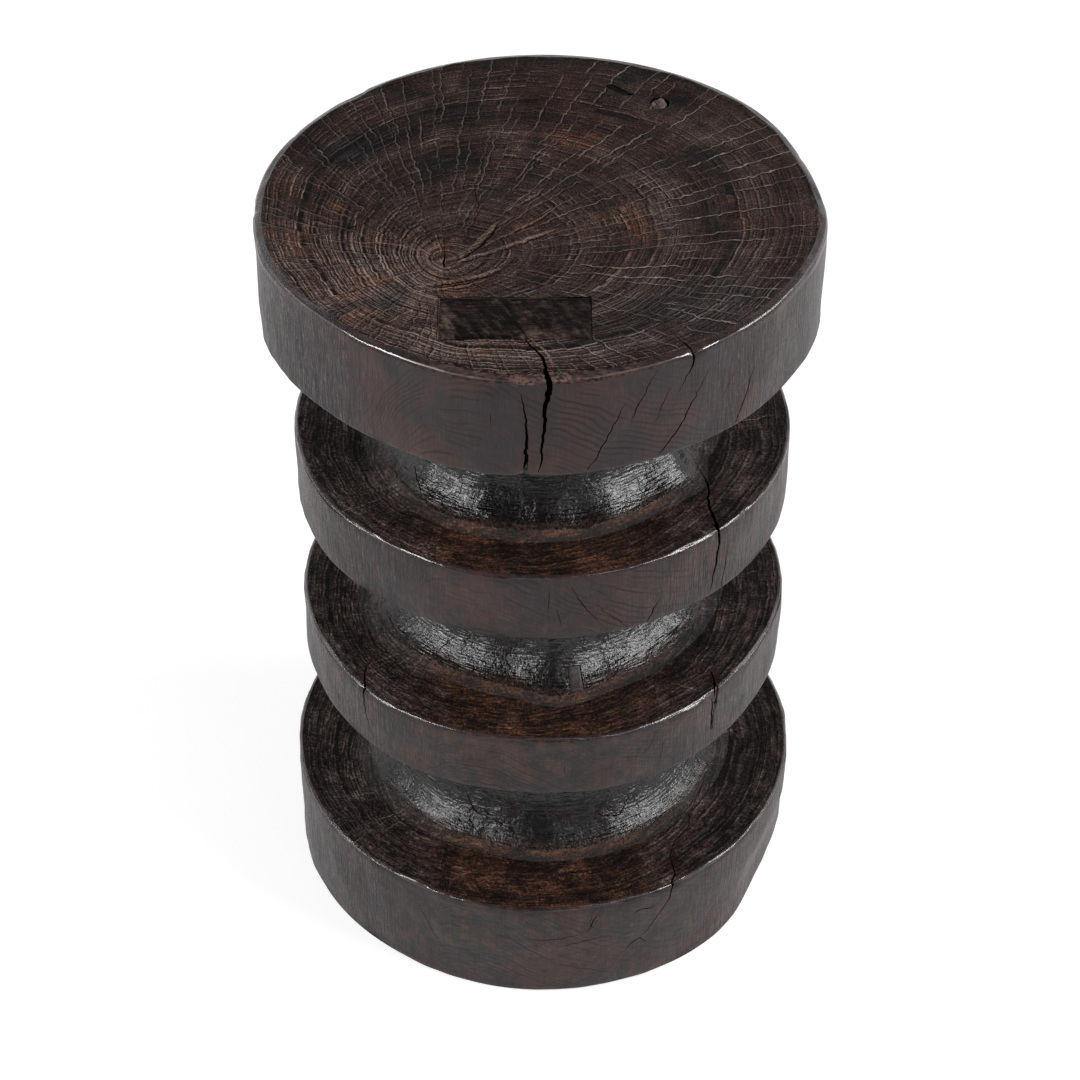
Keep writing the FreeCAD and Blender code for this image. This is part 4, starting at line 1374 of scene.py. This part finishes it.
def side_grain(name, specular):
    """Rims: smooth and half matt, with fine upright streaks, arched figure, polished arrises and a
    painted sheen of pale specks towards the sides.
    """
    g = MaterialGraph(name)
    place = g.place()
    streak = place.times(1, 1, 0.04).noise(1.3, 3, 0.7)
    fibre = place.times(1, 1, 0.1).noise(0.8, 3, 0.7)
    frontal = place.y.step(-120, -165)
    # the figure: flat in front, upright beyond x = -110, falling away to the right
    figure = place.noise(60, 2, 0.45)
    shoulder = place.x.step(-62, -128, 0, 90)
    slope = (place.x + 30.0 | 0) * 0.55
    bent = place.z + shoulder + slope + figure * 34.0
    bent = (bent + place.noise(9, 3).to(-1.4, 1.4)) / 4.6
    layer_luck = g.chance(g.join(bent.floor(), 5, 1)).to(0.25, 1)
    layer = abs(bent.fract() - 0.5).step(0.36, 0.04)
    shown = place.noise(24, 3).step(0.34, 0.54)
    layer = layer * (layer_luck * shown)
    broad = place.noise(55, 3, 0.55)
    # a redder field low on the left of the front
    aside = place.minus((-70, 0, 492)).times(1 / 52, 0, 1 / 20)
    redder = aside.length().step(1, 0.2) * 0.1
    colour = g.mix((broad + redder).step(0.46, 0.64), (43, 37, 39), (61, 42, 40))
    lower = place.z.step(440, 260, 0.35, 1)
    mottled = place.noise(10, 5, 0.72)
    flakes = mottled.step(0.5, 0.64) * lower
    colour = colour.mix(flakes * 0.65, (82, 57, 49))
    scorched = mottled.step(0.47, 0.36) * lower
    colour = colour.mix(scorched * 0.8, (22, 19, 20))
    streaky = streak.step(0.56, 0.4) * frontal.to(1, 0.2)
    colour = colour.mix(streaky, (14, 10, 11))
    far_left = place.x.step(-95, -150)
    # pale specks, strongest on the sides and palest at the far left: painted sheen, for the grazing
    # reflection of the white studio
    painted_sheen_specks = fibre.step(0.54, 0.7) * frontal.to(0.6, 0.1)
    colour = colour.mix(painted_sheen_specks, g.mix(far_left, (116, 106, 104), (148, 141, 142)))
    pale = (bent + 0.25).fract().step(0.2, 0.9)
    colour = colour.under(
        (pale * shown * 0.25, (80, 58, 53)),
        (layer * frontal.to(0.4, 0.85), (8, 6, 7)),
    )
    arris = g.mark("arris")
    worn = arris.step(0.7, 0.95) * place.noise(7, 4, 0.7).step(0.5, 0.66)
    colour = colour.mix(worn * 0.5, (76, 52, 44))
    front = arris * place.y.step(-152, -170)
    front = front * place.z.step(HEIGHT - 5.5, HEIGHT - 3.5)
    chafed = front.step(0.4, 0.8) * place.noise(1.6, 3, 0.7).step(0.4, 0.52)
    chafed = chafed * place.noise(9, 3, 0.6).step(0.4, 0.54)
    tint = (front * 0.7, (58, 33, 28))
    colour, chafed = chafed_strip(g, place, colour, tint, chafed, front.step(0.2, 0.6))
    sides = frontal.to(1, 0.4)
    height = (
        streak * (sides.scale(0.4, 1, 0.18, 0.8) + far_left * 0.5)
        + fibre * sides.scale(0.4, 1, 0.08, 0.3) + layer * -0.1 + chafed * -0.2
        + mottled * (lower * 0.9)
    )
    height = height * arris.to(1, 0.3)
    matt = streak.about(0.2, 0.46, 0.34)
    polish = arris.step(0.4, 0.9) * (1.0 - front)
    rough = matt * (1.0 - polish) + polish * 0.17
    return g.wood(colour, rough, height, specular)


def cove_grain():
    """Coves: nearly black and polished, with tool strokes that break the shine and worn feet."""
    g = MaterialGraph("log_cove_grain")
    place = g.place()
    upright = place.times(1, 1, 0.22).noise(1.1, 3, 0.65)
    level = place.times(1, 1, 0).length()
    round_way = g.one("Math", "ARCTAN2", (place.y, place.x)) * 130.0
    down = place.z - level
    stroke = g.join(round_way * 0.12, down, 0).noise(2.1, 1.5, 0.5)
    scratch = g.join(round_way * 0.1, down, 4).noise(1.2, 2, 0.6)
    gouge = g.join(round_way * 0.3, down, 9).noise(7, 2, 0.5)
    mottle = place.noise(30, 3)
    colour = g.mix(mottle.step(0.35, 0.7), (11, 10, 11), (21, 18, 17))
    colour = colour.under(
        (upright.step(0.56, 0.7) * 0.25, (50, 42, 38)),
        (stroke.step(0.46, 0.36) * 0.7, (5, 4, 5)),
    )
    crumpled = place.noise(2.6, 3, 0.65)
    creases = place.times(1, 1, 0.5).noise(1.2, 2, 0.6)
    patchy = place.noise(14, 3, 0.6).step(0.42, 0.58)
    brown = place.noise(11, 4, 0.7).step(0.58, 0.7) * crumpled.step(0.4, 0.6)
    colour = colour.mix(brown * 0.5, (66, 44, 35))
    height = (
        gouge * 0.6 + upright * 0.12 + stroke * patchy.to(0.25, 0.6) + crumpled * 0.4 + creases * 0.12
        + scratch * 0.06
    )
    # a fan of fine checks that run up the cove, crooked and broken off; their black is painted shade
    # inside them
    crooked = round_way + place.noise(8, 3, 0.65) * 14.0
    checked, _ = strokes(g, crooked / 17, 17, down, 36, 0.5, 0.4, 61)
    colour = colour.mix(checked, (4, 3, 3))
    height = height + checked * -0.6
    foot = g.mark("flare").step(0.05, 0.7)
    colour = colour.mix(foot * 0.75, g.mix(creases.step(0.42, 0.6), (18, 13, 12), (58, 42, 35)))
    rough = (
        0.1 + crumpled.step(0.45, 0.62, 0, 0.17) + patchy.to(0.04, 0) + brown * 0.25 + foot * 0.12
        + checked * 0.5
    )
    # past the flare line the cove's foot is ledge
    line = g.mark("outside") + crumpled.about(0.2, -0.2, 0.2)
    outside = line.step(0.3, 0.5)
    ledge_colour, ledge_height, ledge_rough = ledge_look(g, place)
    colour = colour.mix(outside, ledge_colour)
    inside = 1.0 - outside
    height = height * inside + ledge_height * outside
    rough = rough * inside + (ledge_rough + 0.2) * outside
    return g.wood(colour, rough, height, 0.5)


def crack_wall():
    """The walls of the cracks: the raw wood's brown near the surface, going nearly black with depth
    as painted shade.
    """
    g = MaterialGraph("log_crack_wall")
    rough_wood = g.place().noise(2.5, 3, 0.65)
    shallow = g.mix(rough_wood.step(0.4, 0.65), (10, 6, 6), (26, 14, 11))
    # deeper in a crack the wall goes nearly black: painted shade
    return g.done(g.mix(g.mark("deep"), shallow, (4, 3, 3)), 0.9, None, 0)


log.data.materials.clear()
for material in (
    top_grain(), side_grain("log_side_grain", 0.24), cove_grain(), crack_wall(), ledge_grain(),
    side_grain("log_arris", 0.9),
):
    log.data.materials.append(material)
log.data.polygons.foreach_set("material_index", zones)


def key_material():
    """Dark, scorched wood, its grain from left to right, with a pale line at the left and back."""
    g = MaterialGraph("key_wood")
    place = g.place()
    grain = place.times(0.16, 1, 1).noise(1.1, 4, 0.7)
    black = place.times(0.7, 1, 1).noise(7, 4, 0.7, distortion=0.6)
    char = place.times(1, 0.7, 1).noise(6, 4, 0.75)
    (low_x, low_y), (_, high_y) = key_low, key_high
    paler = (
        spot(g, place, low_x + 4, KEY_CENTRE[1], 9, 40, 0)
        | spot(g, place, low_x + 66, low_y + 4, 34, 11, 4)
    )
    slant = place.x + place.y * 0.5
    bars = g.join(slant, place.y * 0.3, 2).noise(5, 4, 0.7)
    bars = bars.step(0.4, 0.6, -0.24, 0.2) * place.noise(20, 2).step(0.3, 0.6, 0.35, 1)
    tone = (
        grain.about(0.16, 0.14, 0.54) + black.about(0.14, -0.1, 0.12) + char.about(0.12, -0.12, 0.12)
        + bars + paler * 0.26
    )
    colour = g.ramp(tone, (0, 3, 2, 2), (0.3, 19, 14, 13), (0.6, 50, 39, 36), (1, 100, 82, 75))
    # the check goes on through the key as a thin black line, painted shade in the check
    split = spot(g, place, KEY_CENTRE[0] - 1, KEY_CENTRE[1] - 4, 1.5, 19, 28) * grain.step(0.3, 0.5)
    colour = colour.mix(split, (3, 2, 2))
    teeth = place.y.step(high_y - 7, high_y)
    tooth = g.join(place.x, 0, 5).noise(6, 3, 0.7)
    bite = teeth.step(0.1, 0.4) * (teeth * 0.3 + tooth).step(0.6, 0.68)
    colour = colour.mix(bite, (5, 4, 4))
    left = place.x.step(low_x + 0.9, low_x + 0.4)
    back = place.y.step(high_y - 1.4, high_y - 0.7)
    back = back * (black.step(0.4, 0.55) * 0.5)
    edge = left * grain.step(0.35, 0.5) | back
    colour = colour.mix(edge * 0.9, (116, 92, 78))
    return g.done(colour, grain.about(0.2, 0.7, 0.5), grain * 0.5 + black * 0.5, 0.05)


def small_material(name, dark, light, size, rough, relief, specular=0.2):
    """A finely mottled wood for the small pieces."""
    g = MaterialGraph(name)
    fine = g.place().noise(size, 4, 0.65)
    colour = g.mix(fine.step(0.35, 0.68), dark, light)
    return g.done(colour, fine.about(0.2, rough + 0.1, rough - 0.1), fine * relief, specular)


for piece, material in (
    (key, key_material()),
    (knot, small_material("knot_wood", (50, 40, 37), (112, 95, 90), 2.6, 0.5, 0.6)),
    (fill, small_material("pocket_fill", (6, 7, 5), (24, 23, 19), 2, 0.7, 0.5, 0.04)),
    (patch, small_material("patch_wood", (38, 36, 36), (66, 60, 58), 1.6, 0.4, 0.3)),
):
    piece.data.materials.append(material)

for piece, node, slot in (
    (log, "carved_log", "log_wood"),
    (key, "check_key", "key_wood"),
    (knot, "knot_plug", "knot_wood"),
    (fill, "bark_fill", "bark_fill"),
    (patch, "waist_patch", "patch_wood"),
):
    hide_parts(node)
    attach(piece, "root")

# The floor, as white as the studio behind it, with part of that its own, so that its shadow is soft.
# Far away, in millimetres, it glows more, so that it meets the studio's white without a line.
FLOOR_HALF, FLOOR_SINK = 24.0, 0.0004
FLOOR_COLOUR, FLOOR_ROUGH = 0.66, 0.9
FAR_FLOOR, FLOOR_GLOW, FAR_GLOW = (900.0, 2400.0), 0.6, 0.95
floor_mesh = bpy.data.meshes.new("floor")
corners = [(*corner, -FLOOR_SINK) for corner in CORNERS * FLOOR_HALF]
floor_mesh.from_pydata(corners, [], [(0, 1, 2, 3)])
floor = linked("floor", floor_mesh)
g = MaterialGraph("studio_floor")
rays = g.add("ShaderNodeLightPath", out="Is Camera Ray")
outputs = rays.socket.node.outputs
seen = rays | Field(g, outputs["Is Glossy Ray"]) | Field(g, outputs["Is Transmission Ray"])
glow = g.place().length().step(*FAR_FLOOR, FLOOR_GLOW, FAR_GLOW)
g.put(g.shader.inputs["Emission Color"], (1, 1, 1, 1))
g.put(g.shader.inputs["Emission Strength"], seen * glow)
floor.data.materials.append(g.done(grey_of(FLOOR_COLOUR), FLOOR_ROUGH, None, 0.0))

# The studio: white walls, darker overhead and on the side that the camera stands on.
WALL_COLOUR, OVERHEAD, FRONT = (0.97, 0.98, 1.0, 1), 0.08, 0.24
world = bpy.data.worlds.new("studio")
bpy.context.scene.world = world
world.use_nodes = True
g = Graph(world.node_tree)
way = g.add("ShaderNodeTexCoord", out="Generated")
height, front = way.z.step(0.28, 0.72), way.y.step(-0.25, -0.85)
walls = g.mix(front, grey_of(1), grey_of(FRONT))
background = next(n for n in g.tree.nodes if n.type == "BACKGROUND")
g.put(background.inputs["Color"], WALL_COLOUR)
g.put(background.inputs["Strength"], g.mix(height, walls, grey_of(OVERHEAD)))

# The lamps, large and soft, each as (name, place, size, power in watts); all face the same place.
LAMPS = (
    ("left_lamp", (-1.85, -0.95, 1.7), (1.15, 0.4), 36),
    ("right_lamp", (2.0, -0.5, 1.7), (1.8, 0.4), 50),
    ("front_lamp", (1.1, -2.1, 2.2), (0.5, 0.4), 3),
)
LAMP_TARGET = (0, 0, 0.3)
for name, place, size, power in LAMPS:
    light = bpy.data.lights.new(name, "AREA")
    light.shape, light.size, light.size_y, light.energy = "RECTANGLE", *size, power
    lamp = linked(name, light)
    lamp.location = place
    way = Vector(LAMP_TARGET) - Vector(place)
    lamp.rotation_euler = way.to_track_quat("-Z", "Y").to_euler()

# The camera, at the photograph's height, distance and slope, with the object a little off its middle.
LENS, SENSOR, SHIFT = 93.33, 36.0, -0.0021
CAMERA_PLACE, CAMERA_SLOPE = (0, -1.468, 1.555), 41.23
camera_data = bpy.data.cameras.new("camera")
camera_data.lens, camera_data.sensor_width, camera_data.sensor_fit = LENS, SENSOR, "HORIZONTAL"
camera_data.shift_x = SHIFT
camera = linked("camera", camera_data)
camera.location = CAMERA_PLACE
camera.rotation_euler = (math.radians(90 - CAMERA_SLOPE), 0, 0)
bpy.context.scene.camera = camera
bpy.context.scene.view_settings.view_transform = "Standard"
